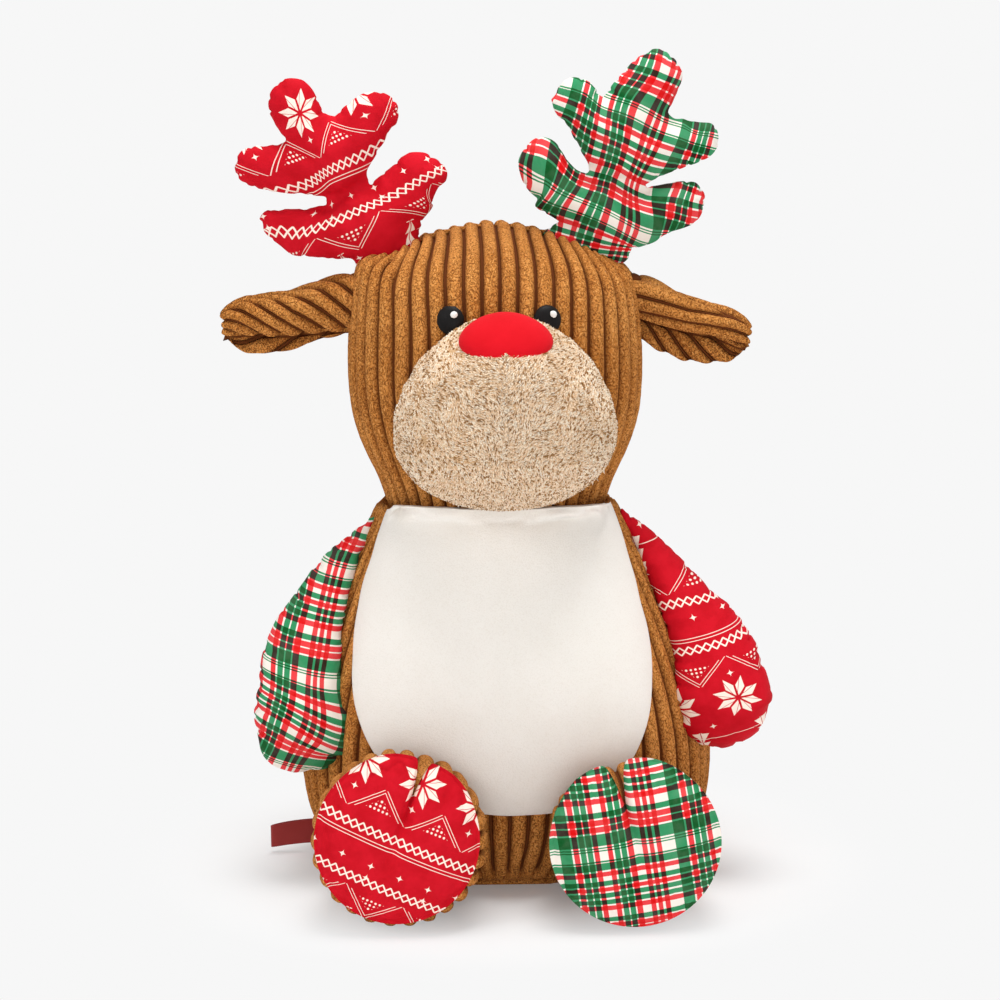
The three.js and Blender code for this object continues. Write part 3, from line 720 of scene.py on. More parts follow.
# Where cloth sits once it is stuffed: x, z and the move along each, in millimetres
PULLS = {
    "antler_left": (
        (-107, 336, 11.5, -2), (-64, 350, -2, -5.5), (-41, 361, -2.5, -3.5),
        (-116, 322, -3.5, 2.5), (-96, 313, -4, -5.5), (-84, 307, -1, -7.5), (-77, 303, 3, -2),
        (-57, 373, 2.5, 0), (-81, 376, -3, -2.5), (-104, 394, 0, 0),
        (-130, 354, -2, 1), (-35, 344, 2, -1), (-47, 315, 3, 0), (-49, 327, 9, 0),
    ),
    "antler_right": (
        (76, 403, -1, 4.5), (85, 396, 0.5, 2), (61, 378, -8, 3.5), (31, 384, -4.5, 6),
        (40, 388, -5, 7), (45, 350, -5.5, -1.5), (13, 348, -5.5, 8), (23, 355, -5.5, 10.5),
        (16, 336, -3, 2.5), (28, 325, -12, 2), (32, 319, -8, 0), (109, 369, -4.5, -1.5),
        (97, 376, -4, -3.5), (88, 373, -3, -1.5), (78, 344, -8.5, -4), (103, 337, -5.5, -1.5),
        (91, 344, -3, -1.5), (91, 325, -3, -4), (72, 320, -2.5, -6.5), (63, 302, -1.5, 2.5),
    ),
    "arm_left": (
        (-128, 76, 2.5, 5.5), (-118, 52, 0, 4), (-104, 50, 0, 3.5), (-90, 53, 7, 2.5),
        (-86, 81, 7, -7), (-82, 109, 0, 0), (-79, 137, -1.5, 0), (-104, 151, -1.5, 0),
        (-70, 184, 2.5, -2.5), (-114, 129, -2.5, 0),
    ),
    "arm_right": (
        (130, 76, -1, 5.5), (121, 59, 0, 8), (107, 57, -3, 6.5), (93, 62, -4, 7),
        (85, 85, -1.5, 3), (113, 127, 3, 0), (101, 152, 3, -4), (126, 96, 2, 0),
        (75, 136, 0, 0), (60, 183, -2.5, 0), (66, 160, -0.5, 0),
    ),
}


def pull_into_shape(piece, name):
    """Drags the cloth near each of a piece's pulls by that pull's move."""
    pulls = np.array(PULLS[name]) * MM
    points = points_of(piece)
    away = np.linalg.norm(points[:, None, [0, 2]] - pulls[:, :2], axis=2)
    weights = 1 / (away**2 + PULL_REACH**2) ** 1.5
    points[:, [0, 2]] += weights @ pulls[:, 2:] / weights.sum(1, keepdims=True)
    return place_points(piece, points)


def pucker(pillow, depth, reach, size, seed):
    """Draws short creases inwards from the seam that runs round a pillow's side."""
    points = points_of(pillow)
    normals = normals_of(pillow)
    seam = points[np.abs(normals[:, 1]) < SEAM_TILT]
    tree = KDTree(len(seam))
    for i, point in enumerate(seam):
        tree.insert((point[0], 0, point[2]), i)
    tree.balance()
    press = np.zeros(len(points))
    shift = Vector((seed, seed, seed))
    for i, point in enumerate(points):
        near, _, far = tree.find((point[0], 0, point[2]))
        if far < reach:
            ripple = abs(noise.noise(near / size + shift))
            crease = max(0.0, 1 - ripple / PUCKER_SHARE) ** 2
            press[i] = crease * (1 - far / reach) ** 1.5
    return place_points(pillow, points - normals * (depth * press)[:, None])


def fold_across(pillow, start, end):
    """Presses a crease from one edge of a pillow to the other, on both faces."""
    start = np.array(start) * MM
    line = np.array(end) * MM - start
    length = np.hypot(*line)
    way = line / length
    points = points_of(pillow)
    middle = (points[:, 1].min() + points[:, 1].max()) / 2
    along = (points[:, [0, 2]] - start) @ way
    off = (points[:, [0, 2]] - start) @ np.array([-way[1], way[0]])
    inside = ramp(along, -WAIST_OVERRUN, 0) * ramp(along, length + WAIST_OVERRUN, length)
    press = WAIST_DEPTH * bell(off, WAIST_WIDTH) * inside
    away = points[:, 1] - middle
    points[:, 1] -= np.sign(away) * np.minimum(press, np.abs(away) * WAIST_LIMIT_SHARE)
    return place_points(pillow, points)


def antler_pillow(name, side):
    node = "antler_" + name
    antler = sewn_pillow(node, node + "_pillow", foot=antler_foot(name), **ANTLER_SEWING)
    pull_into_shape(antler, node)
    fold_across(antler, *ANTLER_WAISTS[name])
    return pucker(antler, seed=1 + side, **ANTLER_PUCKERS)


def arm_pillow(name, side):
    node = "arm_" + name
    arm = sewn_pillow(node, node + "_pillow", **ARM_SEWING)
    pull_into_shape(arm, node)
    return pucker(arm, seed=4 + side, **ARM_PUCKERS)


# Muzzle

MUZZLE_VOXEL = 4 * MM
MUZZLE_CAP = 4 * MM
MUZZLE_COLUMNS = 160
MUZZLE_RINGS = 84
MUZZLE_CENTRE = (-3 * MM, -78 * MM, 236 * MM)
# How far the cheeks and the chin grow past the node, each over its reach from the centre
CHEEK_GROWTH_LEFT = 1.2 * MM
CHEEK_GROWTH_RIGHT = 1.6 * MM
CHEEK_REACH_LEFT = 40 * MM
CHEEK_REACH_RIGHT = 50 * MM
CHIN_GROWTH = np.array([0, -0.8, -1.4]) * MM
CHIN_REACH = 40 * MM
# The seams: one upright between the cheeks, one across above the chin
MUZZLE_SEAM_X = -5 * MM
MUZZLE_SEAM_WIDTH = 1.1 * MM
MUZZLE_SEAM_DEPTH = 0.7 * MM
CHIN_SEAM_Z = 221 * MM
CHIN_SEAM_BEND = 1.8
CHIN_SEAM_WIDTH = 1.3 * MM
CHIN_SEAM_SHARE = 0.5
PILE_SINK = 0.3 * MM
# Locks of pile: how many on a whole sphere, and up to which direction backwards
TUFTS = 30000
TUFTS_BACK = 0.62
TUFT_LENGTH = 2.5 * MM
TUFT_WIDTH = 1.0 * MM
DARK_TUFTS = 0.19
SWIRL_SIZE = 13 * MM
SWIRL_SEED = 3


def chin_seam(x):
    """Height of the seam between the cheeks and the chin."""
    return CHIN_SEAM_Z - CHIN_SEAM_BEND * (x - MUZZLE_SEAM_X) ** 2


def muzzle_seams(x, z):
    """1 in the middle of the seam between the cheeks, and less along the chin's."""
    upright = bell(x - MUZZLE_SEAM_X, MUZZLE_SEAM_WIDTH) * (z > chin_seam(x))
    return np.maximum(upright, CHIN_SEAM_SHARE * bell(z - chin_seam(x), CHIN_SEAM_WIDTH))


def muzzle_skin():
    core = stuffed_core("muzzle", MUZZLE_VOXEL, CORE_START, MUZZLE_CAP)
    skin, turn, rise = unit_sphere(MUZZLE_COLUMNS, MUZZLE_RINGS)
    ways = ways_forward(turn, rise)
    place_points(skin, cast_out(surface_of(core), Vector(MUZZLE_CENTRE), ways))
    remove(core)
    relax(skin, 2)
    points = points_of(skin)
    away = points - np.array(MUZZLE_CENTRE)
    points[:, 0] -= CHEEK_GROWTH_LEFT * ramp(-away[:, 0], 0, CHEEK_REACH_LEFT)
    points[:, 0] += CHEEK_GROWTH_RIGHT * ramp(away[:, 0], 0, CHEEK_REACH_RIGHT)
    points += CHIN_GROWTH * ramp(-away[:, 2], 0, CHIN_REACH)[:, None]
    seam = muzzle_seams(points[:, 0], points[:, 2])
    points -= normals_of(skin) * (MUZZLE_SEAM_DEPTH * seam * (rise > 0) + PILE_SINK)[:, None]
    place_points(skin, points)
    named(skin, "muzzle_skin")
    mark(skin, "strand", np.full(len(points), 0.3))
    return smooth(outward(skin))


def spread_ways(count):
    """Evenly spread directions on a sphere."""
    i = np.arange(count) + 0.5
    rise = np.arcsin(1 - 2 * i / count)
    return ways_forward(i * math.pi * (1 + 5**0.5), -rise)


def pile_way(place):
    """Which way the muzzle's pile lies: in to the seam on the cheeks, down on the chin."""
    swirl = noise.noise_vector(place / SWIRL_SIZE)
    if place.z < chin_seam(place.x):
        return Vector((0, 0, -1)) + swirl * 0.9
    side = 1 if place.x > MUZZLE_SEAM_X else -1
    return Vector((-0.75 * side, 0, -0.75)) + swirl * 1.5


def tuft_at(hit, normal, draw):
    """The five points of one lock of pile, flat on the skin, and its shade."""
    flow = pile_way(hit)
    flow = (flow - normal * flow.dot(normal)).normalized()
    flow = (flow + normal * draw.uniform(0.0, 0.1)).normalized()
    side = normal.cross(flow).normalized()
    dark = draw.uniform(0, 1) < DARK_TUFTS
    size = draw.uniform(0.45, 0.75) if dark else draw.uniform(0.7, 1.25)
    long = flow * TUFT_LENGTH * size
    wide = side * TUFT_WIDTH * draw.uniform(0.75, 1.2) * (0.3 if dark else 0.5)
    tall = normal * TUFT_WIDTH * (0.85 if dark else size * 0.7)
    root = hit - normal * (0 if dark else 0.2) * MM
    middle = root + long * 0.5 + side * draw.uniform(-0.3, 0.3) * MM
    points = [root, middle - wide, middle + wide, middle + tall, root + long - tall * 0.2]
    return points, draw.uniform(0.02, 0.25) if dark else draw.uniform(0.42, 1)


def tufts_on(skin):
    """Short locks of pile laid over the muzzle, back to where it meets the head."""
    tree = surface_of(skin)
    draw = np.random.default_rng(7)
    noise.seed_set(SWIRL_SEED)
    verts = []
    faces = []
    shades = []
    for way in spread_ways(TUFTS):
        way = Vector(way)
        if way.y > TUFTS_BACK:
            continue
        hit, normal = tree.ray_cast(Vector(MUZZLE_CENTRE), way)[:2]
        if hit is None:
            continue
        normal = way if normal.dot(way) < 0 else normal
        a, b, c, d, e = range(len(verts), len(verts) + 5)
        points, shade = tuft_at(hit, normal, draw)
        verts += points
        faces += [(a, d, b), (a, c, d), (b, d, e), (d, c, e), (a, b, e, c)]
        shades += [shade] * 5
    mesh = bpy.data.meshes.new("tufts")
    mesh.from_pydata(verts, [], faces)
    tufts = bpy.data.objects.new("tufts", mesh)
    bpy.context.scene.collection.objects.link(tufts)
    mark(tufts, "strand", shades)
    return smooth(outward(tufts))


# Nose and eyes

NOSE_COLUMNS = 96
NOSE_RINGS = 64
NOSE_HALF_WIDTH = 22.3 * MM
NOSE_HALF_DEPTH = 7.8 * MM
NOSE_TOP = 17.2 * MM
NOSE_BOTTOM = 15.0 * MM
NOSE_TAPER = 0.16
NOSE_DIP = 0.9 * MM
NOSE_DIP_SHARE = 0.035
NOSE_TILT = math.radians(-47)
NOSE_PLACE = np.array([-4.2, -87.0, 274.9]) * MM
EYE_SIZE = 1.1
EYE_SHIFTS = {"left": -1.0 * MM, "right": -1.9 * MM}


def nose_pad():
    pad, _, _ = unit_sphere(NOSE_COLUMNS, NOSE_RINGS)
    x, y, z = points_of(pad).T
    dip = NOSE_DIP * bell(x, NOSE_DIP_SHARE) * np.clip(-z - 0.35, 0, 1) * (y < 0)
    tall = np.where(z > 0, NOSE_TOP, NOSE_BOTTOM) * z * (1 - NOSE_TAPER * x**2)
    points = np.stack([NOSE_HALF_WIDTH * x, NOSE_HALF_DEPTH * y + dip, tall], 1)
    place_points(pad, turned(points, NOSE_TILT, 1, 2) + NOSE_PLACE)
    named(pad, "nose_pad")
    return smooth(pad)


def eye_piece(node, name, side):
    piece = copy_of(node, name)
    finish_with(piece, "SUBSURF", levels=2, render_levels=2)
    points = points_of(piece)
    low, high = (np.array(corner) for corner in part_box("eye_" + side))
    middle = (low + high) / 2
    place_points(piece, middle + (points - middle) * EYE_SIZE + (EYE_SHIFTS[side], 0, 0))
    return smooth(piece)


# Belly

BELLY_COLUMNS = 180
BELLY_RINGS = 90
BELLY_CROWD = 0.8
BELLY_LIFT = 0.4 * MM
BELLY_RIM_SWELL = 1.8 * MM
BELLY_MIDDLE_SWELL = 1.6 * MM
BELLY_RIM_POWER = 14
BELLY_TUCK = 1.6 * MM
BELLY_SIGHT_Y = -300 * MM
BELLY_NEAR_Y = -60 * MM


def belly_patch(core):
    """The plain front panel, laid over the torso inside its seam."""
    tree = surface_of(core)
    edge = belly_reach()
    patch, turn, rise = unit_sphere(BELLY_COLUMNS, BELLY_RINGS)
    share = np.cos(rise) ** BELLY_CROWD
    x = BELLY_MIDDLE[0] + share * edge(turn) * np.sin(turn)
    z = BELLY_MIDDLE[1] + share * edge(turn) * np.cos(turn)
    z = np.minimum(z, BELLY_TOP)
    y = np.empty(len(x))
    for i in range(len(x)):
        hit = tree.ray_cast(Vector((x[i], BELLY_SIGHT_Y, z[i])), Vector((0, 1, 0)))[0]
        hit = hit or tree.find_nearest(Vector((x[i], BELLY_NEAR_Y, z[i])))[0]
        y[i] = hit.y
    rim = np.sqrt(np.clip(1 - share**BELLY_RIM_POWER, 0, 1))
    swell = BELLY_LIFT + BELLY_RIM_SWELL * rim + BELLY_MIDDLE_SWELL * (1 - share**2)
    y = np.where(rise > 0, y - swell, y + BELLY_TUCK)
    place_points(patch, np.stack([x, y, z], 1))
    set_flat_uv(patch, x, z)
    named(patch, "belly_patch")
    relax(patch, 3)
    return smooth(outward(patch))


# Ears

EAR_COLUMNS = 64
EAR_LENGTHS = {"left": 71 * MM, "right": 64.5 * MM}
EAR_CLOTH_LENGTH = 70 * MM
EAR_CLOTH_WIDTH = 52 * MM
# How far the leaf reaches into the head, and how deep its ribs are
EAR_TUCK = 8 * MM
EAR_DEPTH = 3.0 * MM
EAR_THICKNESS = 5.0 * MM
# Depths of the leaf's back and its flap from the ear's middle, in millimetres
EAR_BACK = 8.0
EAR_BACK_CURL = 1.5
FLAP_FRONT = -3.5
FLAP_BULGE = 4.5
FLAP_CURL = 3.0
# Where the leaf rises from its lower edge and folds over, as shares of its height and its cloth
LEAF_FOOT = 0.08
LEAF_RISE = 0.84
FOLD_START = 0.44
FOLD_END = 0.58
# Towards its tip the ear flattens to its middle
TIP_MIDDLE_Y = 6 * MM
TIP_START = 0.8
TIP_FLATTENING = 0.55
# The crease under the flap's edge, pressed in and painted dark as shadow
CREASE_UNDER_FLAP = 2.6 * MM
FLAP_CREASE_WIDTH = 2.4 * MM
FLAP_CREASE_DEPTH = 1.8 * MM
EARS = {
    # heights of the top and bottom edges in millimetres, from the root to the tip
    "left": {
        "top": (301, 300.5, 297, 291.5, 290, 288, 283.5, 277),
        "bottom": (266, 265, 261, 256.5, 253.5, 255, 260, 268),
        "flap": (0.78, 0.76, 0.66, 0.56, 0.5, 0.48, 0.54, 0.66),
        "leaf_slope": 0.42, "flap_slope": 0.95,
    },
    "right": {
        "top": (302, 301, 295, 288, 284.5, 281, 276.5, 270),
        "bottom": (265, 262, 254, 249, 248, 249, 253, 260),
        "flap": (0.56, 0.52, 0.44, 0.38, 0.38, 0.44, 0.56, 0.7),
        "leaf_slope": 0.75, "flap_slope": 0.16,
    },
}
EAR_STEPS = (0, 0.1, 0.3, 0.5, 0.68, 0.84, 0.94, 1)


def ear_depth(u, up, over, blend):
    """The leaf's depth: its back rises behind, and its flap hangs in front."""
    back = EAR_BACK - EAR_BACK_CURL * up**2
    front = FLAP_FRONT - FLAP_BULGE * np.sin(math.pi * over**0.8) + FLAP_CURL * over**5
    y = (back * (1 - blend) + front * blend) * MM
    return TIP_MIDDLE_Y + (y - TIP_MIDDLE_Y) * (1 - TIP_FLATTENING * ramp(u, TIP_START, 1))


def ear_leaf(name, side):
    """A leaf folded along its length, its upper flap curling over the lower one."""
    shape = EARS[name]
    bpy.ops.object.select_all(action="DESELECT")
    bpy.ops.mesh.primitive_grid_add(x_subdivisions=EAR_COLUMNS, y_subdivisions=EAR_COLUMNS, size=1)
    leaf = bpy.context.object
    u, t, _ = (points_of(leaf) + [0.5, 0.5, 0]).T
    top = np.interp(u, EAR_STEPS, shape["top"]) * MM
    bottom = np.interp(u, EAR_STEPS, shape["bottom"]) * MM
    flap = np.interp(u, EAR_STEPS, shape["flap"])
    tall = top - bottom
    up = ramp(t, 0, 0.5)
    over = ramp(t, 0.5, 1)
    blend = eased(ramp(t, FOLD_START, FOLD_END))
    low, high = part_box("ear_" + name)
    root_x = high.x + EAR_TUCK if side < 0 else low.x - EAR_TUCK
    x = root_x + side * u * EAR_LENGTHS[name]
    z = bottom + tall * (LEAF_FOOT + LEAF_RISE * up - flap * over)
    flap_edge = bottom + tall * (LEAF_FOOT + LEAF_RISE - flap)
    # Where the crease under the flap lies: pressed in, and painted with shadow through the grooves'
    # mark
    crease_and_shadow = bell(z - flap_edge + CREASE_UNDER_FLAP, FLAP_CREASE_WIDTH) * (1 - blend)
    y = ear_depth(u, up, over, blend) + FLAP_CREASE_DEPTH * crease_and_shadow
    place_points(leaf, np.stack([x, y, z], 1))
    mark(leaf, "crease_and_shadow", crease_and_shadow)
    around = t * EAR_CLOTH_WIDTH
    slope = shape["leaf_slope"] + (shape["flap_slope"] - shape["leaf_slope"]) * blend
    mark(leaf, "phase", (around + u * EAR_CLOTH_LENGTH * slope) / RIB_WIDTH)
    set_flat_uv(leaf, u * EAR_CLOTH_LENGTH, around)
    relax(leaf, 6)
    finish_with(leaf, "SOLIDIFY", thickness=EAR_THICKNESS, offset=0)
    finish_with(leaf, "SUBSURF", levels=1, render_levels=1)
    outward(leaf)
    named(leaf, f"ear_{name}_leaf")
    press = (1 - rib_height(marks_of(leaf, "phase"))) * EAR_DEPTH
    place_points(leaf, points_of(leaf) - normals_of(leaf) * press[:, None])
    # The crease under the flap joins the grooves' mark, so the corduroy paints it with shadow
    mark(leaf, "groove_and_shadow", np.maximum(press / EAR_DEPTH, marks_of(leaf, "crease_and_shadow")))
    return smooth(leaf)


# Base, neck and tag

BASE_VOXEL = 2 * MM
NECK_VOXEL = 2.5 * MM
FIBRE_LUMPS = 0.4 * MM
FIBRE_LUMP_SIZE = 4 * MM
TAG_COLUMNS = 80
TAG_ROWS = 20
TAG_LENGTH = 26 * MM
TAG_WIDTH = 12.5 * MM
TAG_THICKNESS = 0.35 * MM
TAG_GAP = 1.6 * MM
TAG_ROOT_GAP_SHARE = 0.35
TAG_FOLD_POWER = 6
TAG_SWEEP = 2.5 * MM
TAG_DROOP = 2.2 * MM
TAG_LEAN = 0.35


def base_pad():
    pad = copy_of("base_panel", "base_pad")
    finish_with(pad, "REMESH", mode="VOXEL", voxel_size=BASE_VOXEL)
    relax(pad, 3)
    points = points_of(pad)
    set_flat_uv(pad, points[:, 0], points[:, 1])
    return smooth(pad)


def neck_fibre():
    fibre = copy_of("neck_stuffing", "neck_fibre")
    finish_with(fibre, "REMESH", mode="VOXEL", voxel_size=NECK_VOXEL)
    points = points_of(fibre)
    lumps = (wander(points, FIBRE_LUMP_SIZE, 3) - 1) * FIBRE_LUMPS
    place_points(fibre, points + normals_of(fibre) * lumps[:, None])
    return smooth(fibre)


def tag_loop():
    """A ribbon folded back on itself, its two ends in the hip seam."""
    bpy.ops.object.select_all(action="DESELECT")
    bpy.ops.mesh.primitive_grid_add(x_subdivisions=TAG_COLUMNS, y_subdivisions=TAG_ROWS, size=1)
    tag = bpy.context.object
    u, v, _ = (points_of(tag) + [0.5, 0.5, 0]).T
    low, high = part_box("side_tag")
    side = 2 * (u - 0.5)
    reach = 1 - np.abs(side)
    width = (v - 0.5) * TAG_WIDTH
    opening = TAG_ROOT_GAP_SHARE + (1 - TAG_ROOT_GAP_SHARE) * reach
    fold = np.sqrt(np.clip(1 - reach**TAG_FOLD_POWER, 0, 1))
    gap = TAG_GAP * np.sign(side) * fold * opening
    x = high.x - TAG_LENGTH * reach
    y = (low.y + high.y) / 2 + gap - TAG_SWEEP * reach**2 - width * TAG_LEAN * reach
    z = (low.z + high.z) / 2 + width - TAG_DROOP * reach**2
    place_points(tag, np.stack([x, y, z], 1))
    set_flat_uv(tag, u * 2 * TAG_LENGTH, v * TAG_WIDTH)
    finish_with(tag, "SOLIDIFY", thickness=TAG_THICKNESS, offset=0)
    return smooth(named(outward(tag), "tag_loop"))


# Shader wiring


class Wiring:
    """Short ways to add nodes to a tree and join them."""

    def __init__(self, tree):
        self.tree = tree

    def node(self, kind, inputs=None, **settings):
        made = self.tree.nodes.new(kind)
        for name, value in settings.items():
            setattr(made, name, value)
        for name, value in (inputs or {}).items():
            self.feed(made.inputs[name], value)
        return made

    def feed(self, socket, value):
        if isinstance(value, bpy.types.NodeSocket):
            self.tree.links.new(value, socket)
        else:
            socket.default_value = value

    def calc(self, operation, *values):
        made = self.tree.nodes.new("ShaderNodeMath")
        made.operation = operation
        for socket, value in zip(made.inputs, values):
            self.feed(socket, value)
        return made.outputs[0]

    def mix(self, share, first, second, blend="MIX"):
        made = self.tree.nodes.new("ShaderNodeMix")
        made.data_type = "RGBA"
        made.blend_type = blend
        self.feed(made.inputs[0], share)
        self.feed(made.inputs[6], first)
        self.feed(made.inputs[7], second)
        return made.outputs[2]

    def step(self, value, low, high, start=0.0, end=1.0):
        """Goes smoothly from start to end as value goes from low to high."""
        made = self.tree.nodes.new("ShaderNodeMapRange")
        made.interpolation_type = "SMOOTHSTEP"
        for socket, number in zip(made.inputs, (value, low, high, start, end)):
            self.feed(socket, number)
        return made.outputs[0]

    def noise(self, vector, scale, detail=3.0, roughness=0.55):
        made = self.node(
            "ShaderNodeTexNoise",
            {"Vector": vector, "Scale": scale, "Detail": detail, "Roughness": roughness},
        )
        return made.outputs["Fac"]

    def stretched(self, vector, across, along, up=1.0):
        made = self.node("ShaderNodeMapping", {"Vector": vector, "Scale": (across, along, up)})
        return made.outputs[0]


def new_group(name, inputs, outputs):
    """A node group with named inputs and outputs, and the wiring inside it."""
    group = bpy.data.node_groups.new(name, "ShaderNodeTree")
    for socket, kind in inputs.items():
        group.interface.new_socket(socket, in_out="INPUT", socket_type="NodeSocket" + kind)
    for socket, kind in outputs.items():
        group.interface.new_socket(socket, in_out="OUTPUT", socket_type="NodeSocket" + kind)
    wiring = Wiring(group)
    start = wiring.node("NodeGroupInput").outputs
    end = wiring.node("NodeGroupOutput").inputs
    return group, wiring, start, end


def new_material(name, roughness, sheen=0.0):
    material = bpy.data.materials.new(name)
    material.use_nodes = True
    wiring = Wiring(material.node_tree)
    shader = material.node_tree.nodes["Principled BSDF"]
    shader.inputs["Roughness"].default_value = roughness
    shader.inputs["Specular IOR Level"].default_value = 0.1
    shader.inputs["Sheen Weight"].default_value = sheen
    shader.inputs["Sheen Roughness"].default_value = 0.5
    return material, wiring, shader


def rgb(red, green, blue):
    """A colour from the usual 0 to 255 values of a picture."""
    def linear(value):
        value /= 255
        return value / 12.92 if value <= 0.04045 else ((value + 0.055) / 1.055) ** 2.4
    return (linear(red), linear(green), linear(blue), 1)


def bump(wiring, shader, height, strength, distance):
    made = wiring.node("ShaderNodeBump", {"Height": height, "Strength": strength, "Distance": distance})
    wiring.feed(shader.inputs["Normal"], made.outputs[0])


def use(wiring, group, **inputs):
    made = wiring.node("ShaderNodeGroup")
    made.node_tree = group
    for name, value in inputs.items():
        wiring.feed(made.inputs[name.replace("_", " ")], value)
    return made.outputs


# Shared effects


def pile_group():
    """Short curly pile: dark worm-like pits, pale strands, and slow mottling."""
    group, w, start, end = new_group(
        "pile", {"Vector": "Vector", "Tuft size": "Float"},
        {"Pits": "Float", "Tips": "Float", "Mottle": "Float", "Height": "Float"},
    )
    per = w.calc("DIVIDE", 1.0, start["Tuft size"])
    curls = w.noise(start["Vector"], per, 1.0, 0.5)
    strands = w.noise(start["Vector"], w.calc("MULTIPLY", per, 1.3), 2.0, 0.6)
    slow = w.noise(start["Vector"], w.calc("MULTIPLY", per, 0.05), 3.0, 0.5)
    ridge = w.calc("ABSOLUTE", w.calc("SUBTRACT", curls, 0.5))
    w.feed(end["Tips"], w.calc("MULTIPLY", w.step(ridge, 0.07, 0.17), w.step(strands, 0.42, 0.6)))
    w.feed(end["Pits"], w.calc("MULTIPLY", w.step(ridge, 0.07, 0.03), w.step(strands, 0.56, 0.48)))
    w.feed(end["Mottle"], slow)
    w.feed(end["Height"], w.calc("ADD", strands, w.calc("MULTIPLY", w.step(ridge, 0.0, 0.1), 0.5)))
    return group


def cloth_group():
    """Plain woven cotton seen close: crossing threads and faint rubbing."""
    group, w, start, end = new_group(
        "cotton weave", {"Vector": "Vector", "Thread": "Float"},
        {"Height": "Float", "Wear": "Float"},
    )
    x, y, _ = w.node("ShaderNodeSeparateXYZ", {"Vector": start["Vector"]}).outputs
    per = w.calc("DIVIDE", 2 * math.pi, start["Thread"])
    warp = w.calc("SINE", w.calc("MULTIPLY", x, per))
    weft = w.calc("SINE", w.calc("MULTIPLY", y, per))
    w.feed(end["Height"], w.calc("MULTIPLY", warp, weft))
    w.feed(end["Wear"], w.noise(start["Vector"], 90.0, 4.0, 0.6))
    return group


# Materials

# Corduroy
PILE_BROWN = rgb(196, 124, 56)
PILE_PALE_BROWN = rgb(216, 144, 72)
PILE_TIP = rgb(242, 182, 110)
PILE_PIT = rgb(96, 44, 14)
# Painted shade: the ribs' flanks darken towards each groove in this colour
PAINTED_GROOVE_SHADE = rgb(142, 80, 34)
# The valleys' woven ground; on the ears it also paints the shadow in the crease under the flap
GROUND_AND_FLAP_SHADOW = rgb(100, 52, 22)
# Heather pile, from a strand's root to its tip
STRAND_ROOT = rgb(148, 102, 50)
STRAND_COLOURS = {
    0.2: rgb(186, 142, 92),
    0.42: rgb(236, 202, 164),
    0.7: rgb(252, 230, 202),
}
STRAND_TIP = rgb(255, 246, 230)
STRAND_PIT = rgb(150, 112, 70)
# Plush and felt
PLUSH_CREAM = rgb(238, 233, 225)
PLUSH_WHITE = rgb(245, 241, 235)
PLUSH_PIT = rgb(205, 192, 176)
FELT_RED = rgb(200, 8, 22)
FELT_PALE_RED = rgb(218, 18, 34)
# Printed cotton
COTTON_THREAD = 0.55 * MM
COTTON_RELIEF = 0.08 * MM
COTTON_RED = rgb(190, 8, 26)
COTTON_PALE_RED = rgb(206, 17, 36)
INK_CREAM = rgb(250, 232, 218)
WORN_COTTON = rgb(250, 245, 238)
# Plain pieces
FIBRE_WHITE = rgb(247, 245, 240)
EYE_BLACK = rgb(22, 20, 20)
THREAD_WHITE = rgb(250, 249, 246)
SATIN_MAROON = rgb(160, 58, 56)


def corduroy_material():
    material, w, shader = new_material("wide corduroy", 0.95)
    place = w.node("ShaderNodeTexCoord").outputs["Object"]
    # Groove depth, and on the ears painted shadow under the flap
    groove_and_shadow = w.node("ShaderNodeAttribute", attribute_name="groove_and_shadow").outputs["Fac"]
    pile = use(w, PILE, Vector=w.stretched(place, 1, 1, 0.8), Tuft_size=1.35 * MM)
    # The valleys' woven ground, and painted shadow under the ears' flaps
    ground_and_shadow = w.step(groove_and_shadow, 0.6, 0.96)
    bare = w.calc("SUBTRACT", 1.0, ground_and_shadow)
    shade = w.mix(w.step(pile["Mottle"], 0.35, 0.65), PILE_BROWN, PILE_PALE_BROWN)
    shade = w.mix(w.calc("MULTIPLY", pile["Tips"], 0.4), shade, PILE_TIP)
    # Painted shade on the ribs' flanks, growing darker towards each groove
    shade = w.mix(w.calc("MULTIPLY", w.step(groove_and_shadow, 0.08, 0.6), 0.45), shade, PAINTED_GROOVE_SHADE)
    shade = w.mix(w.calc("MULTIPLY", pile["Pits"], 0.7), shade, PILE_PIT)
    shade = w.mix(ground_and_shadow, shade, GROUND_AND_FLAP_SHADOW)
    w.feed(shader.inputs["Base Color"], shade)
    bump(w, shader, w.calc("MULTIPLY", pile["Height"], bare), 0.9, 1.1 * MM)
    return material


def heather_material():
    material, w, shader = new_material("heather pile", 0.95, sheen=0.05)
    place = w.node("ShaderNodeTexCoord").outputs["Object"]
    strand = w.node("ShaderNodeAttribute", attribute_name="strand").outputs["Fac"]
    pile = use(w, PILE, Vector=place, Tuft_size=0.9 * MM)
    length = w.node("ShaderNodeValToRGB", {"Fac": strand})
    root, tip = length.color_ramp.elements
    root.position = 0.0
    root.color = STRAND_ROOT
    tip.position = 1.0
    tip.color = STRAND_TIP
    for share, colour in STRAND_COLOURS.items():
        length.color_ramp.elements.new(share).color = colour
    shade = w.mix(w.calc("MULTIPLY", pile["Pits"], 0.55), length.outputs[0], STRAND_PIT)
    w.feed(shader.inputs["Base Color"], shade)
    bump(w, shader, pile["Height"], 0.4, 0.4 * MM)
    return material


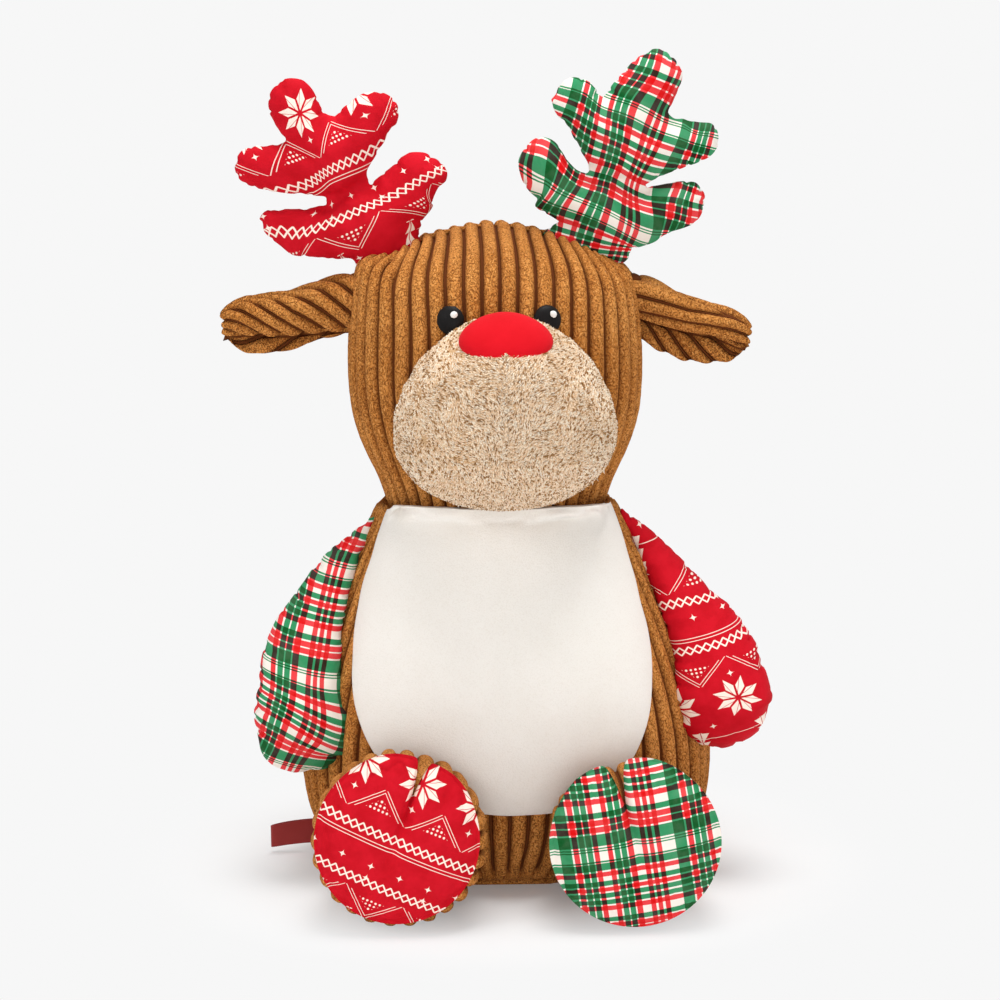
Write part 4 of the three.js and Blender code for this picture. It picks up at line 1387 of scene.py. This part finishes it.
def plush_material():
    material, w, shader = new_material("plain plush", 0.95, sheen=0.1)
    place = w.node("ShaderNodeTexCoord").outputs["Object"]
    pile = use(w, PILE, Vector=place, Tuft_size=1.1 * MM)
    shade = w.mix(pile["Mottle"], PLUSH_CREAM, PLUSH_WHITE)
    shade = w.mix(w.calc("MULTIPLY", pile["Pits"], 0.12), shade, PLUSH_PIT)
    w.feed(shader.inputs["Base Color"], shade)
    bump(w, shader, pile["Height"], 0.35, 0.4 * MM)
    return material


def felt_material():
    material, w, shader = new_material("red felt", 0.9, sheen=0.05)
    place = w.node("ShaderNodeTexCoord").outputs["Object"]
    pile = use(w, PILE, Vector=place, Tuft_size=0.6 * MM)
    shade = w.mix(pile["Mottle"], FELT_RED, FELT_PALE_RED)
    w.feed(shader.inputs["Base Color"], shade)
    bump(w, shader, pile["Height"], 0.3, 0.25 * MM)
    return material


def plain_material(name, colour, roughness, tuft, strength):
    material, w, shader = new_material(name, roughness)
    place = w.node("ShaderNodeTexCoord").outputs["Object"]
    pile = use(w, PILE, Vector=place, Tuft_size=tuft)
    dark = tuple(value * 0.8 for value in colour[:3]) + (1,)
    w.feed(shader.inputs["Base Color"], w.mix(pile["Mottle"], dark, colour))
    bump(w, shader, pile["Height"], strength, 0.25 * MM)
    return material


# The plaid's stripes, lengthwise and crosswise: width in millimetres and dye
PLAID_WARP = (
    (2.2, "red"), (1.1, "cream"), (2.0, "red"), (1.3, "cream"), (2.3, "red"), (6.6, "cream"),
    (5.6, "green"), (0.8, "cream"), (2.5, "red"), (0.7, "cream"), (2.6, "green"), (0.6, "cream"),
    (2.5, "green"), (0.7, "cream"), (2.3, "red"), (4.0, "cream"), (2.3, "red"), (0.8, "cream"),
    (2.6, "green"), (0.6, "cream"), (2.5, "green"), (0.8, "cream"), (2.6, "red"), (4.2, "cream"),
)
PLAID_WEFT = (
    (5.4, "green"), (0.9, "cream"), (2.5, "red"), (0.7, "cream"), (2.5, "red"), (0.9, "cream"),
    (2.5, "green"), (3.8, "cream"), (2.3, "red"), (0.8, "cream"), (2.5, "green"), (1.0, "cream"),
    (2.4, "green"), (0.8, "cream"), (2.0, "red"), (0.7, "cream"), (2.4, "green"), (2.2, "cream"),
    (2.1, "red"), (0.8, "cream"), (3.4, "green"), (0.5, "cream"), (0.7, "green"), (4.4, "cream"),
    (0.6, "green"), (0.6, "cream"), (0.6, "green"), (0.9, "cream"),
)
DYES = {"cream": (1, 1, 1, 1), "red": (0.88, 0.05, 0.065, 1), "green": (0.035, 0.33, 0.145, 1)}
PLAID_BASE = rgb(243, 234, 224)


def stripes(w, place, sett):
    """One direction of the plaid's stripes, as the dye that it adds."""
    period = sum(width for width, _ in sett) * MM
    share = w.calc("FRACT", w.calc("DIVIDE", place, period))
    row = w.node("ShaderNodeValToRGB", {"Fac": share})
    row.color_ramp.interpolation = "CONSTANT"
    marks = row.color_ramp.elements
    marks[0].color = DYES[sett[0][1]]
    marks.remove(marks[1])
    reached = sett[0][0] * MM / period
    for width, dye in sett[1:]:
        marks.new(reached).color = DYES[dye]
        reached += width * MM / period
    return row.outputs[0]


def cloth_place(w, origin, turn):
    """The place on the flat cloth, from the print's own start and turn."""
    uv = w.node("ShaderNodeUVMap", uv_map="UVMap").outputs[0]
    start = (origin[0] * MM, origin[1] * MM, 0)
    settings = {"Vector": uv, "Location": start, "Rotation": (0, 0, math.radians(turn))}
    return w.node("ShaderNodeMapping", settings, vector_type="TEXTURE").outputs[0]


def plaid_material(name, origin, turn):
    material, w, shader = new_material(name, 0.75)
    flat = cloth_place(w, origin, turn)
    x, y, _ = w.node("ShaderNodeSeparateXYZ", {"Vector": flat}).outputs
    dyed = w.mix(1.0, stripes(w, x, PLAID_WARP), stripes(w, y, PLAID_WEFT), "MULTIPLY")
    dyed = w.mix(1.0, dyed, PLAID_BASE, "MULTIPLY")
    weave = use(w, WEAVE, Vector=flat, Thread=COTTON_THREAD)
    dyed = w.mix(w.step(weave["Wear"], 0.35, 0.7, 0, 0.04), dyed, WORN_COTTON)
    w.feed(shader.inputs["Base Color"], dyed)
    bump(w, shader, weave["Height"], 0.25, COTTON_RELIEF)
    return material


def knit_material(name, origin, turn):
    material, w, shader = new_material(name, 0.75)
    flat = cloth_place(w, origin, turn)
    ink = use(w, KNIT, Vector=flat)["Ink"]
    weave = use(w, WEAVE, Vector=flat, Thread=COTTON_THREAD)
    red = w.mix(w.step(weave["Wear"], 0.3, 0.7), COTTON_RED, COTTON_PALE_RED)
    w.feed(shader.inputs["Base Color"], w.mix(ink, red, INK_CREAM))
    bump(w, shader, weave["Height"], 0.25, COTTON_RELIEF)
    return material


# The knit print, in millimetres

KNIT_REPEAT = 104.0
KNIT_SPACING = 29.0
KNIT_BLUR = 0.12
FLAKE_REACH = 6.3
FLAKE_HALF_LENGTH = 4.9
FLAKE_HALF_WIDTH = 2.1
FLAKE_SPINE = 0.7
FLAKE_LINE_HALF = 0.12
# Crosses: height of the row, spacing and offset along it
CROSSES = (
    (14.0, 29.0, 14.5),
    (-13.0, 29.0, 0.0),
    (-44.0, 14.5, 0.0),
    (-50.0, 29.0, 7.2),
    (30.0, 29.0, 3.0),
)
CROSS_SIZE = 1.5
# Dotted peaks: height of the row, 1 where they point up or -1 down, and offset
PEAKS = ((-15.5, 1.0, 14.5), (-63.0, -1.0, 0.0))
PEAK_SLOPE = 0.95
PEAK_LINES = ((5.2, 5.4), (7.0, 6.4))
PEAK_LINE_HALF = 0.2
DOT_RADIUS = 0.55
DOT_COLUMNS = 2.1
DOT_ROWS = 2.0
CHAINS = (-28.7, -52.0)
CHAIN_SPACING = 8.0
CHAIN_SLOPE = 1.05
CHAIN_HALF_HEIGHT = 2.1
CHAIN_LINE_HALF = 0.52
THIN_LINES = (-33.0, -34.6, 22.0)
THIN_LINE_HALF = 0.17
FIR_HEIGHT = -76.0
FIR_SQUEEZE = 0.76
FIR_OFFSET = 8.0
FIR_TIER = 4.6
FIR_SPREAD = 0.58
FIR_HALF_HEIGHT = 7.2
FIR_TRUNK = 0.2


class KnitWiring(Wiring):
    """Marks of the print: each is 1 inside a motif and 0 outside it."""

    def length(self, x, y):
        squares = self.calc("ADD", self.calc("MULTIPLY", x, x), self.calc("MULTIPLY", y, y))
        return self.calc("SQRT", squares)

    def cell(self, place, width, offset=0.0):
        """Distance from the middle of the nearest cell of that width."""
        wrapped = self.calc("WRAP", self.calc("ADD", place, offset), width, 0.0)
        return self.calc("SUBTRACT", wrapped, width / 2)

    def band(self, y, height):
        """Distance from a row of the print."""
        return self.cell(y, KNIT_REPEAT, KNIT_REPEAT / 2 - height)

    def inside(self, distance, edge=0.0):
        return self.step(distance, edge + KNIT_BLUR, edge - KNIT_BLUR)

    def within(self, distance, half):
        return self.inside(self.calc("ABSOLUTE", distance), half)

    def all_of(self, first, *others):
        for other in others:
            first = self.calc("MULTIPLY", first, other)
        return first

    def any_of(self, first, *others):
        for other in others:
            first = self.calc("MAXIMUM", first, other)
        return first


def flakes(w, x, y):
    """Flakes of eight petals, each with a spine line."""
    fx = w.cell(x, KNIT_SPACING)
    fy = w.band(y, 0)
    radius = w.length(fx, fy)
    turn = w.calc("ARCTAN2", fy, fx)
    fold = w.calc("SUBTRACT", w.calc("WRAP", turn, math.pi / 4, 0.0), math.pi / 8)
    along = w.calc("MULTIPLY", radius, w.calc("COSINE", fold))
    aside = w.calc("MULTIPLY", radius, w.calc("SINE", fold))
    from_middle = w.calc("ABSOLUTE", w.calc("SUBTRACT", along, FLAKE_REACH))
    long_share = w.calc("DIVIDE", from_middle, FLAKE_HALF_LENGTH)
    wide_share = w.calc("DIVIDE", w.calc("ABSOLUTE", aside), FLAKE_HALF_WIDTH)
    petal = w.step(w.calc("ADD", long_share, wide_share), 1.04, 0.96)
    spine = w.within(w.calc("SUBTRACT", aside, FLAKE_SPINE), FLAKE_LINE_HALF)
    return w.all_of(petal, w.calc("SUBTRACT", 1.0, spine))


def crosses(w, x, y, height, spacing, offset):
    """Four-pointed crosses."""
    cx = w.calc("ABSOLUTE", w.cell(x, spacing, offset))
    cy = w.calc("ABSOLUTE", w.band(y, height))
    star = w.calc("ADD", w.calc("POWER", cx, 0.5), w.calc("POWER", cy, 0.5))
    return w.step(star, CROSS_SIZE, 0.92 * CROSS_SIZE)


def peaks(w, x, y, height, way, offset):
    """Dotted peaks inside double lines."""
    px = w.cell(x, KNIT_SPACING, offset)
    py = w.calc("MULTIPLY", w.band(y, height), way)
    slope = w.calc("ADD", w.calc("MULTIPLY", w.calc("ABSOLUTE", px), PEAK_SLOPE), py)
    dot = w.length(w.cell(px, DOT_COLUMNS, DOT_COLUMNS / 2), w.cell(py, DOT_ROWS))
    below = w.inside(w.calc("MULTIPLY", py, -1.0), 4.0)
    marks = [w.all_of(w.inside(dot, DOT_RADIUS), w.inside(slope, 2.4), below)]
    for place, half in PEAK_LINES:
        line = w.within(w.calc("SUBTRACT", slope, place), PEAK_LINE_HALF)
        marks.append(w.all_of(line, w.within(py, half)))
    return w.any_of(*marks)


def chains(w, x, y, height):
    """Chains of two crossed zigzags."""
    zx = w.calc("ABSOLUTE", w.cell(x, CHAIN_SPACING))
    zy = w.band(y, height)
    zig = w.calc("SUBTRACT", w.calc("MULTIPLY", zx, CHAIN_SLOPE), CHAIN_HALF_HEIGHT)
    rising = w.within(w.calc("SUBTRACT", zy, zig), CHAIN_LINE_HALF)
    falling = w.within(w.calc("ADD", zy, zig), CHAIN_LINE_HALF)
    return w.all_of(w.any_of(rising, falling), w.within(zy, CHAIN_HALF_HEIGHT + 0.2))


def firs(w, x, y):
    """Firs in three tiers, with a bare trunk line."""
    tx = w.calc("ABSOLUTE", w.cell(x, KNIT_SPACING, FIR_OFFSET))
    ty = w.calc("MULTIPLY", w.band(y, FIR_HEIGHT), FIR_SQUEEZE)
    tier = w.calc("WRAP", w.calc("ADD", ty, 7.5), FIR_TIER, 0.0)
    under = w.calc("SUBTRACT", FIR_TIER, tier)
    spread = w.calc("ADD", 0.4, w.calc("MULTIPLY", under, FIR_SPREAD))
    half = w.calc("MULTIPLY", spread, w.step(ty, -8.0, 8.0, 1.25, 0.45))
    fir = w.inside(w.calc("SUBTRACT", tx, half))
    tall = w.within(w.calc("ADD", ty, 0.6), FIR_HALF_HEIGHT)
    trunk = w.inside(w.calc("MULTIPLY", tx, -1.0), -FIR_TRUNK)
    return w.all_of(fir, tall, trunk)


def knit_group():
    """Rows of knit-style motifs: flakes, crosses, dotted peaks, chains, lines and firs."""
    group, _, start, end = new_group("knit rows", {"Vector": "Vector"}, {"Ink": "Float"})
    w = KnitWiring(group)
    flat = w.node("ShaderNodeSeparateXYZ", {"Vector": start["Vector"]}).outputs
    x = w.calc("DIVIDE", flat[0], MM)
    y = w.calc("DIVIDE", flat[1], MM)
    motifs = [flakes(w, x, y), firs(w, x, y)]
    motifs += [crosses(w, x, y, *row) for row in CROSSES]
    motifs += [peaks(w, x, y, *row) for row in PEAKS]
    motifs += [chains(w, x, y, height) for height in CHAINS]
    motifs += [w.within(w.band(y, height), THIN_LINE_HALF) for height in THIN_LINES]
    w.feed(end["Ink"], w.any_of(*motifs))
    return group


PILE = pile_group()
WEAVE = cloth_group()
KNIT = knit_group()


# Camera and studio


def aim(thing, target):
    thing.rotation_mode = "QUATERNION"
    thing.rotation_quaternion = (target - thing.location).to_track_quat("-Z", "Y")


def add_camera():
    data = bpy.data.cameras.new("camera")
    data.lens = CAMERA_LENS
    camera = bpy.data.objects.new("camera", data)
    bpy.context.scene.collection.objects.link(camera)
    away = Vector((
        -math.sin(CAMERA_TURN) * math.cos(CAMERA_RISE),
        -math.cos(CAMERA_TURN) * math.cos(CAMERA_RISE),
        math.sin(CAMERA_RISE),
    ))
    camera.location = CAMERA_TARGET + away * CAMERA_DISTANCE
    aim(camera, CAMERA_TARGET)
    bpy.context.scene.camera = camera


def add_lamp(name, place, size, energy):
    data = bpy.data.lights.new(name, "AREA")
    data.energy = energy
    data.size = size
    lamp = bpy.data.objects.new(name, data)
    bpy.context.scene.collection.objects.link(lamp)
    lamp.location = place
    aim(lamp, CAMERA_TARGET)


BACKDROP_GREY = rgb(247, 247, 247)
FLOOR_GREY = (0.9, 0.9, 0.9, 1)
FLOOR_SIZE = 8
# The floor keeps the deer's shadow, and turns into the backdrop's plain grey further out
FLOOR_NEAR = 0.07
FLOOR_FAR = 0.2
FLOOR_NEAR_SHARE = 0.15
SKY_STRENGTH = 0.46
# Soft lamps: place in metres, size and energy
LAMPS = {
    "key": ((-1.4, -1.2, 1.2), 0.6, 6.5),
    "fill": ((0.0, -2.2, 0.04), 1.1, 20),
    "side": ((1.6, -1.2, 0.5), 0.8, 2.5),
    "top": ((0.1, -0.1, 1.9), 0.9, 27),
}


def seen_plainly(w):
    """1 where the picture, a reflection or a clear piece looks straight at the backdrop."""
    rays = w.node("ShaderNodeLightPath").outputs
    through = w.calc("MAXIMUM", rays["Is Glossy Ray"], rays["Is Transmission Ray"])
    return w.calc("MAXIMUM", rays["Is Camera Ray"], through)


def add_floor():
    bpy.ops.object.select_all(action="DESELECT")
    bpy.ops.mesh.primitive_plane_add(size=FLOOR_SIZE)
    floor = named(bpy.context.object, "floor")
    material, w, shader = new_material("pale floor", 0.9)
    shader.inputs["Base Color"].default_value = FLOOR_GREY
    place = w.node("ShaderNodeTexCoord").outputs["Object"]
    reach = w.node("ShaderNodeVectorMath", {0: place}, operation="LENGTH").outputs["Value"]
    plain = w.step(reach, FLOOR_NEAR, FLOOR_FAR, FLOOR_NEAR_SHARE, 1.0)
    far = w.calc("MULTIPLY", seen_plainly(w), plain)
    glow = w.node("ShaderNodeEmission", {"Color": BACKDROP_GREY, "Strength": 1.0}).outputs[0]
    both = w.node("ShaderNodeMixShader", {0: far, 1: shader.outputs[0], 2: glow})
    w.feed(material.node_tree.nodes["Material Output"].inputs["Surface"], both.outputs[0])
    floor.data.materials.append(material)


def add_sky():
    world = bpy.data.worlds.new("studio")
    bpy.context.scene.world = world
    world.use_nodes = True
    w = Wiring(world.node_tree)
    sky = world.node_tree.nodes["Background"]
    sky.inputs["Color"].default_value = (1, 1, 1, 1)
    sky.inputs["Strength"].default_value = SKY_STRENGTH
    settings = {"Color": BACKDROP_GREY, "Strength": 1.0}
    plain = w.node("ShaderNodeBackground", settings).outputs[0]
    both = w.node("ShaderNodeMixShader", {0: seen_plainly(w), 1: sky.outputs[0], 2: plain})
    w.feed(world.node_tree.nodes["World Output"].inputs["Surface"], both.outputs[0])


def add_studio():
    add_floor()
    add_sky()
    for name, (place, size, energy) in LAMPS.items():
        add_lamp(name, Vector(place), size, energy)
    bpy.context.scene.view_settings.view_transform = "Standard"


# The deer, piece by piece


def dress(piece, material, body, node):
    """Gives a piece its finish, and ties it to the frame."""
    piece.data.materials.clear()
    piece.data.materials.append(material)
    if body:
        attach(piece, body)
    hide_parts(node)
    return piece


def add_body(corduroy):
    dress(head_skin(), corduroy, "head", "head")
    torso, torso_core = torso_skin()
    dress(torso, corduroy, "torso", "torso")
    dress(belly_patch(torso_core), plush_material(), "torso", "belly_panel")
    remove(torso_core)
    dress(base_pad(), corduroy, "torso", "base_panel")
    fibre = plain_material("fibre", FIBRE_WHITE, 1.0, 2 * MM, 0.5)
    dress(neck_fibre(), fibre, "neck", "neck_stuffing")


def add_face():
    muzzle = muzzle_skin()
    muzzle = joined(muzzle, tufts_on(muzzle))
    dress(muzzle, heather_material(), "head", "muzzle")
    dress(nose_pad(), felt_material(), "head", "nose")
    eye_black = plain_material("eye black", EYE_BLACK, 0.45, 0.8 * MM, 0.2)
    thread = plain_material("eye thread", THREAD_WHITE, 0.6, 0.5 * MM, 0.3)
    for name, side in SIDES:
        button = eye_piece("eye_" + name, f"eye_{name}_button", name)
        dress(button, eye_black, "head", "eye_" + name)
        glint = eye_piece(f"eye_{name}_glint", f"eye_{name}_stitch", name)
        dress(glint, thread, "head", f"eye_{name}_glint")


# Each printed piece: its print, where that starts on the flat cloth in millimetres, and its turn
PRINTS = {
    "antler_left": ("knit", (-114, 373), 23),
    "antler_right": ("plaid", (60, 330), -17),
    "arm_left": ("plaid", (-100, 110), -14),
    "arm_right": ("knit", (97, 88), 199),
    "sole_left": ("knit", (-1, 33), -24),
    "sole_right": ("plaid", (2, 4), 9),
}


def dress_printed(piece, node, body):
    kind, start, turn = PRINTS[node]
    part, name = node.split("_")
    make = knit_material if kind == "knit" else plaid_material
    material = make(f"{kind} on the {name} {part}", start, turn)
    dress(piece, material, body, node)


def add_limbs(name, side, corduroy):
    dress_printed(antler_pillow(name, side), "antler_" + name, "antler_" + name)
    dress_printed(arm_pillow(name, side), "arm_" + name, "arm_" + name)
    leg = dress(leg_skin(name, side), corduroy, None, "leg_" + name)
    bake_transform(leg)
    dress_printed(sole_pillow(name, side), "sole_" + name, "leg_" + name)
    dress(ear_leaf(name, side), corduroy, "ear_" + name, "ear_" + name)


def add_tag():
    satin = plain_material("maroon satin", SATIN_MAROON, 0.5, 0.5 * MM, 0.2)
    tag = dress(tag_loop(), satin, "side_tag", "side_tag")


add_camera()
add_studio()
corduroy = corduroy_material()
add_body(corduroy)
add_face()
for name, side in SIDES:
    add_limbs(name, side, corduroy)
add_tag()
